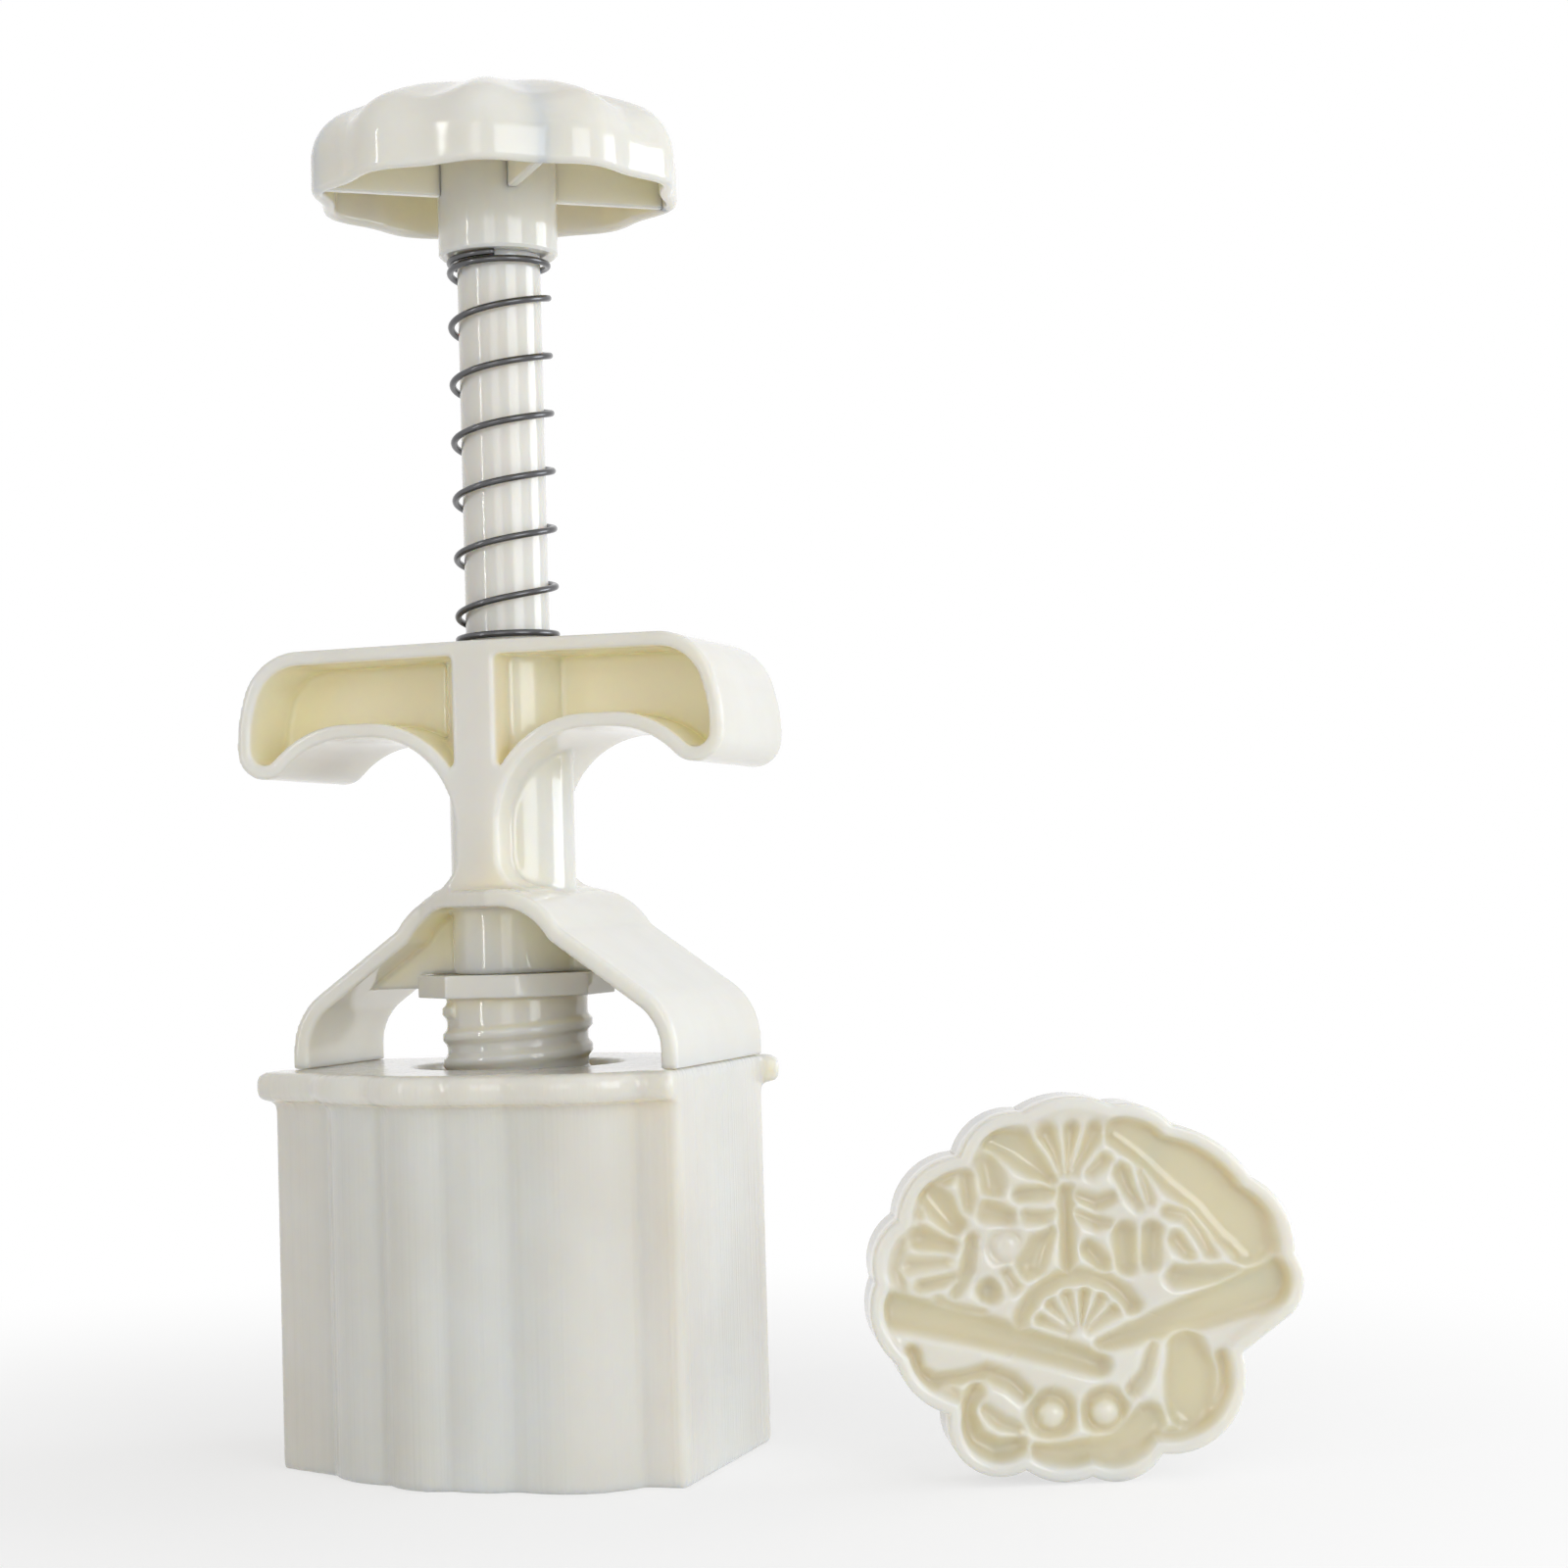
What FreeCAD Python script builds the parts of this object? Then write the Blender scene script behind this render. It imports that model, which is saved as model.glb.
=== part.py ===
import FreeCAD, Part
import math
import os
import Sketcher

# Hand press for moulding mooncakes: a plunger with a scalloped knob slides through a
# T-handle and an arch, and pushes a fan-shaped stamp down a fan-shaped barrel.
# Millimetres. The origin is the middle of the barrel's mouth, +Z runs up the plunger,
# -Y is the front and +X is the right-hand side.

V = FreeCAD.Vector
X_AXIS = V(1, 0, 0)
Y_AXIS = V(0, 1, 0)
Z_AXIS = V(0, 0, 1)

SIZES = [
    ("fan_width", 54.0, "stamp, guard end to guard end"),
    ("fit_gap", 0.3, "stamp to barrel wall, all round"),
    ("barrel_wall", 1.8, "barrel wall"),
    ("barrel_height", 52.0, "mouth rim to the top of the plate"),
    ("plate_thickness", 2.5, "barrel top plate"),
    ("plate_hole_gap", 0.7, "flange corner to the hole in the plate"),
    ("bead_height", 3.8, "rounded bead at the barrel's top edge"),
    ("bead_reach", 2.3, "bead, outwards from the barrel"),
    ("bead_round", 1.2, "rounding of the bead's edges"),
    ("corner_front_left", 13.9, "barrel's flat left side, forwards from the axis"),
    ("leg_front_left", 8.3, "left leg, forwards from the axis"),
    ("leg_front_right", 18.5, "right leg and flat right side, forwards"),
    ("leg_back", 15.5, "both legs, backwards from the axis"),
    ("strap_thickness", 2.2, "arch strap and legs"),
    ("arch_top", 75.2, "crown of the arch above the mouth"),
    ("arch_flat", 5.0, "half width of the arch's level crown"),
    ("gusset_thickness", 2.0, "webs between neck and arch"),
    ("gusset_foot", 62.2, "lower edge of those webs"),
    ("neck_radius", 8.3, "neck tube outside"),
    ("neck_end", 64.1, "lower end of the neck tube"),
    ("handle_top", 107.8, "top of the T-handle"),
    ("handle_reach", 34.3, "half length of the T-handle"),
    ("handle_drop", 18.2, "handle top down to its finger hooks"),
    ("handle_depth", 25.0, "T-handle, front to back"),
    ("handle_rim", 1.9, "band round the T-handle"),
    ("handle_web", 3.0, "web in the middle of the T-handle"),
    ("neck_rib", 6.1, "rib through the neck, from the handle's top down to the arch"),
    ("neck_flare", 12.4, "curve from the rib into the handle's underside"),
    ("neck_foot", 4.3, "curve from the rib onto the arch"),
    ("rod_radius", 5.6, "plunger rod"),
    ("running_gap", 0.05, "rod in the neck, radially"),
    ("rod_seat", 6.0, "rod end let into the stamp holder"),
    ("hub_seat", 12.0, "rod end let into the knob's hub"),
    ("screw_radius", 1.95, "screw shank"),
    ("screw_gap", 0.05, "screw shank to its hole, radially"),
    ("screw_head_radius", 3.8, "screw head"),
    ("screw_head_height", 2.4, "screw head"),
    ("screw_length", 16.0, "under the head"),
    ("pilot_hole_depth", 14.0, "holes in the rod's two ends"),
    ("washer_radius", 5.2, "washer under the holder screw"),
    ("washer_thickness", 1.0, "washer under the holder screw"),
    ("flange_across", 26.2, "octagonal flange, corner to corner"),
    ("flange_thickness", 3.0, "octagonal flange"),
    ("thread_radius", 10.0, "stem thread, crest"),
    ("thread_depth", 0.6, "stem thread"),
    ("thread_pitch", 3.4, "stem thread"),
    ("thread_length", 12.4, "threaded length under the flange"),
    ("pilot_radius", 9.2, "plain end of the stem"),
    ("pilot_length", 2.6, "plain end of the stem"),
    ("stem_recess_radius", 6.0, "hollow in the stem for the screw"),
    ("holder_web", 3.0, "holder's wall between rod and screw head"),
    ("spring_wire", 0.45, "spring wire, radius"),
    ("spring_radius", 6.55, "spring, axis to the wire's middle"),
    ("spring_turns", 8.8, "all turns"),
    ("spring_free", 52.5, "spring as fitted, handle top to knob hub"),
    ("hub_radius", 8.0, "knob's hub"),
    ("knob_radius", 25.0, "knob"),
    ("knob_rim", 7.5, "knob's rim above the lower end of the hub"),
    ("knob_height", 15.0, "knob, rim to crown"),
    ("knob_round", 7.0, "rounding between the knob's side and its dome, in section"),
    ("knob_wall", 1.8, "knob shell"),
    ("knob_dome", 51.0, "radius of the knob's dome in section"),
    ("well_gap", 0.6, "screw head to the knob's well, radially"),
    ("well_spare", 1.0, "knob screw's head to the plug above it"),
    ("rib_thickness", 1.4, "ribs under the knob"),
    ("rib_foot", 0.4, "knob's rim up to its ribs"),
    ("rib_turn", 38.0, "first rib under the knob, degrees round from +X"),
    ("scallop_radius", 16.0, "hollows round the knob"),
    ("scallop_depth", 1.3, "hollows round the knob"),
    ("cap_radius", 6.5, "plug in the knob's crown"),
    ("cap_thickness", 2.4, "plug in the knob's crown"),
    ("cap_gap", 0.1, "plug to its recess, radially"),
    ("cap_rise", 0.4, "middle of the plug above the crown"),
    ("stamp_rim", 1.4, "wall round the stamp's face"),
    ("relief_depth", 2.2, "hollows of the stamp's pattern"),
    ("ridge_width", 0.8, "raised lines of the pattern"),
    ("stamp_plate", 2.5, "stamp behind its pattern"),
    ("skirt_depth", 10.0, "stamp's skirt, front to back"),
    ("skirt_wall", 1.8, "stamp's skirt"),
    ("socket_gap", 0.25, "thread crest to the stamp's socket, radially"),
    ("socket_wall", 2.4, "wall of the stamp's socket"),
    ("socket_spare", 0.4, "socket depth beyond the stem's length"),
    ("stamp_rib", 1.6, "ribs on the back of the stamp"),
    ("stamp_rib_step", 2.0, "those ribs, back from the skirt's edge"),
    ("stamp_place_x", 78.0, "stamp beside the press"),
    ("stamp_place_y", -7.0, "stamp beside the press"),
    ("stamp_turn", 21.5, "stamp's face, degrees round from the front"),
]

KNOB_LOBES = 10
KNOB_RIBS = 4
STAMP_RIBS = 6
SPRING_POINTS_PER_TURN = 16
FLOOR_CLEARANCE = 0.06

# How far a cutting tool runs past what it cuts, and how deep a joined piece is rooted.
PAST = 1.0
ROOT = 0.5

# An edge whose ends and middle differ less than this in height counts as level.
LEVEL = 0.01

# The fan with its two guards, as the stamp's face shows it: each step is an arc through a
# lobe's peak to the next valley, or a straight line where there is no peak.
FAN_START = (-26.3, 1.2)
FAN_STEPS = [
    ((-25.9, 6.2), (-23.4, 9.0)),
    ((-21.5, 13.6), (-15.5, 16.6)),
    ((-12.6, 20.5), (-7.3, 21.8)),
    ((-1.7, 23.5), (3.7, 22.4)),
    ((7.8, 22.0), (11.1, 19.7)),
    ((17.2, 16.9), (20.9, 12.8)),
    ((24.5, 9.5), (26.0, 3.3)),
    ((27.0, -1.2), (25.4, -4.2)),
    (None, (19.0, -8.8)),
    ((18.1, -16.3), (8.6, -20.8)),
    ((4.5, -23.8), (-0.2, -23.2)),
    ((-3.8, -23.8), (-8.4, -22.1)),
    ((-13.7, -22.4), (-17.7, -14.9)),
    ((-22.0, -12.2), (-24.0, -8.6)),
    ((-27.0, -2.6), (-26.3, 1.2)),
]

# The arch, as shares of its panels' distance from the axis and of its rise above the plate.
ARCH_SHOULDER = (0.86, 0.43)
ARCH_KNEE = (0.965, 0.28)
ARCH_ANKLE = (1.0, 0.08)
ARCH_BEND = (0.36, 0.925)
ARCH_SLOPE = (0.47, 0.78)

# The right end of the T-handle, as shares of its reach and of its drop from the top: the
# peak of each arc, or None for a line, and the point that it runs to.
HANDLE_STEPS = [
    (None, (0.74, 0.011)),
    ((0.89, 0.11), (0.974, 0.363)),
    ((0.995, 0.54), (1.0, 0.725)),
    ((0.93, 0.923), (0.806, 0.877)),
    ((0.688, 0.72), (0.539, 0.665)),
]

# Sections of the thread and pitches of the spring.
THREAD_ROOT_SHARE = 0.38
THREAD_CREST_SHARE = 0.12
SPRING_CLOSED_TURNS = 1.0
SPRING_EASE_TURNS = 0.5
SPRING_CLOSED_PITCH = 2.1

# The stamp's pattern, on the drawn fan: strips as (start, end, width), round hollows as
# (middle, radius), blossoms as (middle, distance of the petals), and the little fan.
GUARDS = [
    ((-24.0, -2.2), (1.0, -9.4), 4.4),
    ((23.2, -0.6), (1.8, -7.2), 5.4),
]
BEADS = [((-4.9, -15.4), 2.9), ((1.9, -15.4), 2.9)]
BLOSSOMS = [((-14.1, 7.0), 3.2), ((-1.6, 13.5), 3.0), ((12.5, 6.6), 3.4)]
PETALS = 5
PETAL_SHARE = 0.62
LITTLE_FAN = (-1.1, -6.2)
LITTLE_FAN_RADIUS = 8.3
LITTLE_FAN_FOOT = 1.5
RAY_START = 3.0
RAY_END = 7.8
RAY_ANGLES = (30, 54, 78, 102, 126, 150)

doc = FreeCAD.newDocument("MooncakePress")
sheet = doc.addObject("Spreadsheet::Sheet", "Sizes")
for row, (alias, number, meaning) in enumerate(SIZES, start=1):
    sheet.set("A%d" % row, meaning)
    sheet.set("B%d" % row, str(number))
    sheet.setAlias("B%d" % row, alias)
doc.recompute()


def value(expression):
    return float(sheet.evalExpression(expression))


def size(alias):
    return float(sheet.get(alias))


# Heights and distances that follow from the sizes, as expressions on the sheet.
PANEL_X = "(Sizes.fan_width / 2 + Sizes.fit_gap + Sizes.barrel_wall)"
PLATE_UNDER = "(Sizes.barrel_height - Sizes.plate_thickness)"
PLATE_HOLE = "(Sizes.flange_across / 2 + Sizes.plate_hole_gap)"
FLANGE_UNDER = "(Sizes.neck_end - Sizes.flange_thickness)"
THREAD_END = "(Sizes.neck_end - Sizes.flange_thickness - Sizes.thread_length)"
STEM_END = "(Sizes.neck_end - Sizes.flange_thickness - Sizes.thread_length - Sizes.pilot_length)"
ROD_FOOT = "(Sizes.neck_end - Sizes.rod_seat)"
WEB_UNDER = "(Sizes.neck_end - Sizes.rod_seat - Sizes.holder_web)"
HEAD_SEAT = "(Sizes.neck_end - Sizes.rod_seat - Sizes.holder_web - Sizes.washer_thickness)"
HUB_FOOT = "(Sizes.handle_top + Sizes.spring_free)"
ROD_TOP = "(Sizes.handle_top + Sizes.spring_free + Sizes.hub_seat)"
KNOB_RIM = "(Sizes.handle_top + Sizes.spring_free + Sizes.knob_rim)"
CROWN = "(Sizes.handle_top + Sizes.spring_free + Sizes.knob_rim + Sizes.knob_height)"
CAP_SEAT = "(%s - Sizes.cap_thickness)" % CROWN
KNOB_SCREW_SEAT = "(%s - Sizes.screw_head_height - Sizes.well_spare)" % CAP_SEAT
BORE = "(Sizes.rod_radius + Sizes.running_gap)"
SCREW_HOLE = "(Sizes.screw_radius + Sizes.screw_gap)"
CAP_RECESS = "(Sizes.cap_radius + Sizes.cap_gap)"
STAMP_BACK = "(Sizes.relief_depth + Sizes.stamp_plate)"
SOCKET_DEPTH = "(Sizes.thread_length + Sizes.pilot_length + Sizes.socket_spare)"
SOCKET_RADIUS = "(Sizes.thread_radius + Sizes.socket_gap)"

made = []


def above(expression):
    return "%s + %g" % (expression, PAST)


def below(expression):
    return "%s - %g" % (expression, PAST)


def keep(thing, label):
    thing.Label = label
    made.append(thing)
    return thing


def bind(thing, **expressions):
    for name, expression in expressions.items():
        thing.setExpression(name.replace("_", "."), expression)


def origin_plane(body, role):
    for feature in body.Origin.OriginFeatures:
        if feature.Role == role:
            return feature
    raise ValueError(role)


def sketch_on(body, role, name):
    sketch = body.newObject("Sketcher::SketchObject", name)
    sketch.AttachmentSupport = [(origin_plane(body, role), "")]
    sketch.MapMode = "FlatFace"
    return sketch


def arc_middle(start, end, radius):
    """A point on the arc of this radius that bulges to the left of start to end."""
    chord = end.sub(start)
    half = chord.Length / 2
    rise = radius - math.sqrt(max(radius * radius - half * half, 0.0))
    left = V(-chord.y, chord.x, 0).normalize()
    return start.add(end).multiply(0.5).add(left.multiply(rise))


def line_profile(sketch, corners):
    """A closed outline of straight lines, every corner held by two bound distances."""
    points = [V(value(x), value(y), 0) for x, y in corners]
    count = len(corners)
    for index in range(count):
        sketch.addGeometry(Part.LineSegment(points[index], points[(index + 1) % count]), False)
    for index in range(count):
        sketch.addConstraint(Sketcher.Constraint("Coincident", index, 2, (index + 1) % count, 1))
    for index, corner in enumerate(corners):
        for kind, expression in zip(("DistanceX", "DistanceY"), corner):
            held = Sketcher.Constraint(kind, -1, 1, index, 1, value(expression))
            number = sketch.addConstraint(held)
            sketch.setExpression("Constraints[%d]" % number, expression)


def turned_body(name, corners):
    """A PartDesign body turned about Z from corners given as (radius, height)."""
    body = doc.addObject("PartDesign::Body", name)
    sketch = sketch_on(body, "XZ_Plane", name + "Profile")
    line_profile(sketch, corners)
    turned = body.newObject("PartDesign::Revolution", name + "Turned")
    turned.Profile = sketch
    turned.ReferenceAxis = (sketch, ["V_Axis"])
    turned.Angle = 360
    doc.recompute()
    return body


def cylinder(name, radius, foot, top):
    """A round bar about Z between two heights, all three bound."""
    bar = doc.addObject("Part::Cylinder", name)
    bind(bar, Radius=radius, Height="(%s) - (%s)" % (top, foot), Placement_Base_z=foot)
    return bar


def box(name, low, high):
    """A box between two corners, given as expressions."""
    block = doc.addObject("Part::Box", name)
    sides = ["(%s) - (%s)" % (high[axis], low[axis]) for axis in range(3)]
    bind(block, Length=sides[0], Width=sides[1], Height=sides[2])
    bind(block, Placement_Base_x=low[0], Placement_Base_y=low[1], Placement_Base_z=low[2])
    return block


def feature(name, shape):
    thing = doc.addObject("Part::Feature", name)
    thing.Shape = shape
    return thing


def fused(name, things):
    union = doc.addObject("Part::MultiFuse", name)
    union.Shapes = things
    union.Refine = True
    return union


def cut(name, base, tool):
    rest = doc.addObject("Part::Cut", name)
    rest.Base = base
    rest.Tool = tool
    rest.Refine = True
    return rest


def extruded(name, face, direction, length, symmetric=False, start="0"):
    """A flat face drawn out along a direction by a bound length."""
    thing = doc.addObject("Part::Extrusion", name)
    thing.Base = face
    thing.DirMode = "Custom"
    thing.Dir = direction
    thing.Solid = True
    thing.Symmetric = symmetric
    bind(thing, LengthFwd=length)
    if start != "0":
        bind(thing, Placement_Base_z=start)
    return thing


def outline(start, steps):
    """A closed wire in the XY plane from a start point and (arc peak or None, end) steps."""
    edges = []
    here = V(start[0], start[1], 0)
    for peak, end in steps:
        there = V(end[0], end[1], 0)
        if peak is None:
            edges.append(Part.LineSegment(here, there).toShape())
        else:
            edges.append(Part.Arc(here, V(peak[0], peak[1], 0), there).toShape())
        here = there
    return Part.Wire(edges)


def stood_up(shape):
    """Turns a shape drawn in XY so that its y runs up Z, in the XZ plane."""
    return shape.rotated(V(0, 0, 0), X_AXIS, 90)


FAN_BOX = outline(FAN_START, FAN_STEPS).BoundBox


def fan_ratio():
    """The fan's real width over its width as drawn."""
    return size("fan_width") / FAN_BOX.XLength


def fan_wire(offset, mirrored):
    """The fan's outline, grown by the offset; the barrel has it mirrored, seen from above."""
    ratio = fan_ratio()
    side = -ratio if mirrored else ratio
    start = (FAN_START[0] * side, FAN_START[1] * ratio)
    steps = []
    for peak, end in FAN_STEPS:
        moved = None if peak is None else (peak[0] * side, peak[1] * ratio)
        steps.append((moved, (end[0] * side, end[1] * ratio)))
    wire = outline(start, steps)
    if offset:
        wire = wire.makeOffset2D(offset, 0)
    return wire


def fan_point(drawn):
    """A point of the drawn fan, where it lies on the mirrored fan of the barrel."""
    ratio = fan_ratio()
    return (-drawn[0] * ratio, drawn[1] * ratio)


def fan_peak(index):
    return fan_point(FAN_STEPS[index][0])


def fan_valley(index):
    return fan_point(FAN_STEPS[index][1])


def barrel_outer_face():
    """Lobed outline of the barrel, with its flat sides and filled corners."""
    grow = size("fit_gap") + size("barrel_wall")
    panel = value(PANEL_X)
    back = size("leg_back")
    front = -size("leg_front_right")
    front_left = fan_valley(9)
    front_right = fan_valley(11)
    lobe_start = (front_right[0] + 0.3 * grow, front_right[1] - 0.9 * grow)
    lobe_end = (panel - 3 * size("barrel_wall"), front)
    lobe_peak = (0.6 * lobe_end[0] + 0.4 * lobe_start[0], lobe_start[1] - 0.1 * grow)
    left = outline((-panel, back), [
        (None, (-panel, -size("corner_front_left"))),
        (None, (front_left[0] - 0.2 * grow, front_left[1] - 0.85 * grow)),
        (None, (0, 0)),
        (None, fan_peak(5)),
        (None, (-panel, back)),
    ])
    right = outline((panel, back), [
        (None, fan_peak(2)),
        (None, (0, 0)),
        (None, lobe_start),
        (lobe_peak, lobe_end),
        (None, (panel, front)),
        (None, (panel, back)),
    ])
    between = outline((-panel, -panel), [
        (None, (panel, -panel)),
        (None, (panel, panel)),
        (None, (-panel, panel)),
        (None, (-panel, -panel)),
    ])
    lobed = Part.Face(fan_wire(grow, True))
    joined = lobed.fuse([Part.Face(left), Part.Face(right)])
    return joined.common(Part.Face(between)).removeSplitter().Faces[0]


def barrel_outside():
    """The barrel as if it were solid, with the rounded bead round its top."""
    face = barrel_outer_face()
    top = size("barrel_height")
    foot = top - size("bead_height")
    wire = face.OuterWire.makeOffset2D(size("bead_reach"), 0)
    band = Part.Face(wire).extrude(V(0, 0, top - foot))
    band.translate(V(0, 0, foot))
    joined = face.extrude(V(0, 0, top)).fuse(band).removeSplitter()
    edges = []
    for side in joined.Faces:
        if side.BoundBox.ZLength < LEVEL and side.BoundBox.ZMin > foot - LEVEL:
            edges.extend(side.OuterWire.Edges)
    return feature("BarrelOutside", joined.makeFillet(size("bead_round"), edges))


def mould_barrel():
    inner = feature("BarrelInside", Part.Face(fan_wire(size("fit_gap"), True)))
    margin = above("Sizes.bead_reach")
    low = below("Sizes.barrel_height - Sizes.bead_height")
    high = above("Sizes.barrel_height")
    right_flush = box("BeadRightGap",
                      (PANEL_X, "-Sizes.leg_front_right - (%s)" % margin, low),
                      ("%s + %s" % (PANEL_X, margin), "Sizes.leg_back", high))
    left_flush = box("BeadLeftGap",
                     ("-%s - (%s)" % (PANEL_X, margin), "-Sizes.leg_front_left", low),
                     ("-%s" % PANEL_X, "Sizes.leg_back", high))
    trimmed = cut("BeadTrimmed", cut("BeadTrimmedRight", barrel_outside(), right_flush), left_flush)
    cavity = extruded("BarrelCavity", inner, Z_AXIS, PLATE_UNDER)
    hole = cylinder("PlateHole", PLATE_HOLE, "0", high)
    keep(cut("BarrelWhole", cut("BarrelHollow", trimmed, cavity), hole), "mould_barrel")


def arch_face():
    """The arch seen from the front: closed one strap thickness under the plate's top."""
    panel = value(PANEL_X)
    top = size("arch_top")
    flat = size("arch_flat")
    plate = size("barrel_height")
    foot = plate - size("strap_thickness")
    places = []
    for share in (ARCH_SHOULDER, ARCH_KNEE, ARCH_ANKLE, ARCH_BEND, ARCH_SLOPE):
        places.append((share[0] * panel, plate + share[1] * (top - plate)))
    shoulder, knee, ankle, bend, slope = places
    return outline((-flat, top), [
        (None, (flat, top)),
        (bend, slope),
        (None, shoulder),
        (knee, ankle),
        (None, (panel, foot)),
        (None, (-panel, foot)),
        (None, (-ankle[0], ankle[1])),
        ((-knee[0], knee[1]), (-shoulder[0], shoulder[1])),
        (None, (-slope[0], slope[1])),
        ((-bend[0], bend[1]), (-flat, top)),
    ])


def handle_face():
    """The T-handle and its rib seen from the front: level top, hooked ends, flared rib."""
    top = size("handle_top")
    reach = size("handle_reach")
    drop = size("handle_drop")
    rib = size("neck_rib") / 2
    flare = size("neck_flare")
    foot = size("neck_foot")
    crown = size("arch_top")
    slant = math.sqrt(0.5)
    half = []
    for peak, end in HANDLE_STEPS:
        moved = None if peak is None else (peak[0] * reach, top - peak[1] * drop)
        half.append((moved, (end[0] * reach, top - end[1] * drop)))
    under = half[-1][1][1]
    half.append((None, (rib + flare, under)))
    half.append(((rib + flare - slant * flare, under - flare + slant * flare),
                 (rib, under - flare)))
    half.append((None, (rib, crown + foot)))
    half.append(((rib + foot - slant * foot, crown + foot - slant * foot),
                 (rib + foot, crown)))
    half.append((None, (rib + foot, crown - size("strap_thickness") / 2)))
    steps = list(half)
    back = [(0, top)] + [end for peak, end in half]
    steps.append((None, (-back[-1][0], back[-1][1])))
    for index in range(len(half) - 1, -1, -1):
        peak = half[index][0]
        end = back[index]
        mirrored = None if peak is None else (-peak[0], peak[1])
        steps.append((mirrored, (-end[0], end[1])))
    return outline((0, top), steps)


def handle_yoke():
    neck = cylinder("NeckTube", "Sizes.neck_radius", "Sizes.neck_end", "Sizes.handle_top")
    outer = handle_face()
    inner = outer.makeOffset2D(-size("handle_rim"), 0)
    handle_outline = feature("HandleOutline", Part.Face(stood_up(outer)))
    pocket_outline = feature("HandlePocketOutline", Part.Face(stood_up(inner)))
    handle = extruded("HandleBlock", handle_outline, Y_AXIS, "Sizes.handle_depth", True)
    pocket = extruded("HandlePocket", pocket_outline, Y_AXIS, above("Sizes.handle_depth"), True)
    web = box("HandleWeb",
              (below("-Sizes.handle_reach"), "-Sizes.handle_web / 2", "Sizes.neck_end"),
              (above("Sizes.handle_reach"), "Sizes.handle_web / 2", above("Sizes.handle_top")))
    rib = box("NeckRib",
              ("-Sizes.neck_rib / 2", below("-Sizes.handle_depth"), "Sizes.neck_end"),
              ("Sizes.neck_rib / 2", above("Sizes.handle_depth"), above("Sizes.handle_top")))
    hollows = cut("HandleHollows", cut("HandleSides", pocket, web), rib)
    wings = cut("HandleWings", handle, hollows)

    arch = arch_face()
    arch_inside = arch.makeOffset2D(-size("strap_thickness"), 0)
    strap = Part.Face(stood_up(arch)).cut(Part.Face(stood_up(arch_inside)))
    strap_outline = feature("StrapOutline", strap.Faces[0])
    depth = "Sizes.leg_front_right + Sizes.leg_back"
    strap_whole = extruded("StrapWhole", strap_outline, Y_AXIS, depth)
    bind(strap_whole, Placement_Base_y="-Sizes.leg_front_right")
    under = box("UnderArch", (below("-" + PANEL_X), below("-Sizes.leg_front_right"), "0"),
                (above(PANEL_X), above("Sizes.leg_back"), "Sizes.barrel_height"))
    corner = strap_corner()
    strap_cut = cut("StrapFeet", strap_whole, under)
    strap_done = cut("StrapShaped", strap_cut, corner)
    wings_done = cut("WingsShaped", wings, corner)

    gussets = []
    room = size("flange_across") / 2 + ROOT
    for name, side in (("GussetRight", 1), ("GussetLeft", -1)):
        near = size("neck_radius") - ROOT
        far_x = value(PANEL_X) - size("strap_thickness")
        high = size("arch_top") - size("strap_thickness") + ROOT
        panel = outline((near * side, size("neck_end")), [
            (None, (room * side, size("neck_end"))),
            (None, (room * side, size("gusset_foot"))),
            (None, (far_x * side, size("gusset_foot"))),
            (None, (far_x * side, high)),
            (None, (near * side, high)),
            (None, (near * side, size("neck_end"))),
        ])
        inside = Part.Face(panel).common(Part.Face(arch_inside.makeOffset2D(ROOT, 0)))
        face = feature(name + "Outline", stood_up(inside.Faces[0]))
        gussets.append(extruded(name, face, Y_AXIS, "Sizes.gusset_thickness", True))

    whole = fused("YokeSolid", [neck, wings_done, strap_done] + gussets)
    bore = cylinder("NeckBore", BORE, below("Sizes.neck_end"), above("Sizes.handle_top"))
    keep(cut("YokeBored", whole, bore), "handle_yoke")


def strap_corner():
    """What the arch and the rib's foot lack at the front left, where the leg stands back."""
    panel = value(PANEL_X) + PAST
    front = -size("leg_front_right") - PAST
    shallow = -size("leg_front_left")
    corner = outline((-panel, front), [
        (None, (size("arch_flat"), front)),
        (None, (-2 * size("arch_flat"), shallow)),
        (None, (-panel, shallow)),
        (None, (-panel, front)),
    ])
    face = feature("StrapCornerOutline", Part.Face(corner))
    return extruded("StrapCorner", face, Z_AXIS, "Sizes.arch_top + Sizes.neck_foot")


def plunger_rod():
    hole = SCREW_HOLE
    body = turned_body("PlungerRod", [
        (hole, ROD_FOOT),
        ("Sizes.rod_radius", ROD_FOOT),
        ("Sizes.rod_radius", ROD_TOP),
        (hole, ROD_TOP),
        (hole, "%s - Sizes.pilot_hole_depth" % ROD_TOP),
        ("0", "%s - Sizes.pilot_hole_depth" % ROD_TOP),
        ("0", "%s + Sizes.pilot_hole_depth" % ROD_FOOT),
        (hole, "%s + Sizes.pilot_hole_depth" % ROD_FOOT),
    ])
    keep(body, "plunger_rod")


def screw(name, label, seat, upwards):
    """A pan-head screw; its shank points up or down from the seat of its head."""
    along = "+" if upwards else "-"
    away = "-" if upwards else "+"
    head = "%s %s Sizes.screw_head_height" % (seat, away)
    tip = "%s %s Sizes.screw_length" % (seat, along)
    body = turned_body(name, [
        ("0", head),
        ("Sizes.screw_head_radius", head),
        ("Sizes.screw_head_radius", seat),
        ("Sizes.screw_radius", seat),
        ("Sizes.screw_radius", tip),
        ("0", tip),
    ])
    keep(body, label)


def holder_washer():
    body = turned_body("Washer", [
        (SCREW_HOLE, HEAD_SEAT),
        ("Sizes.washer_radius", HEAD_SEAT),
        ("Sizes.washer_radius", WEB_UNDER),
        (SCREW_HOLE, WEB_UNDER),
    ])
    keep(body, "holder_washer")


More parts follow.
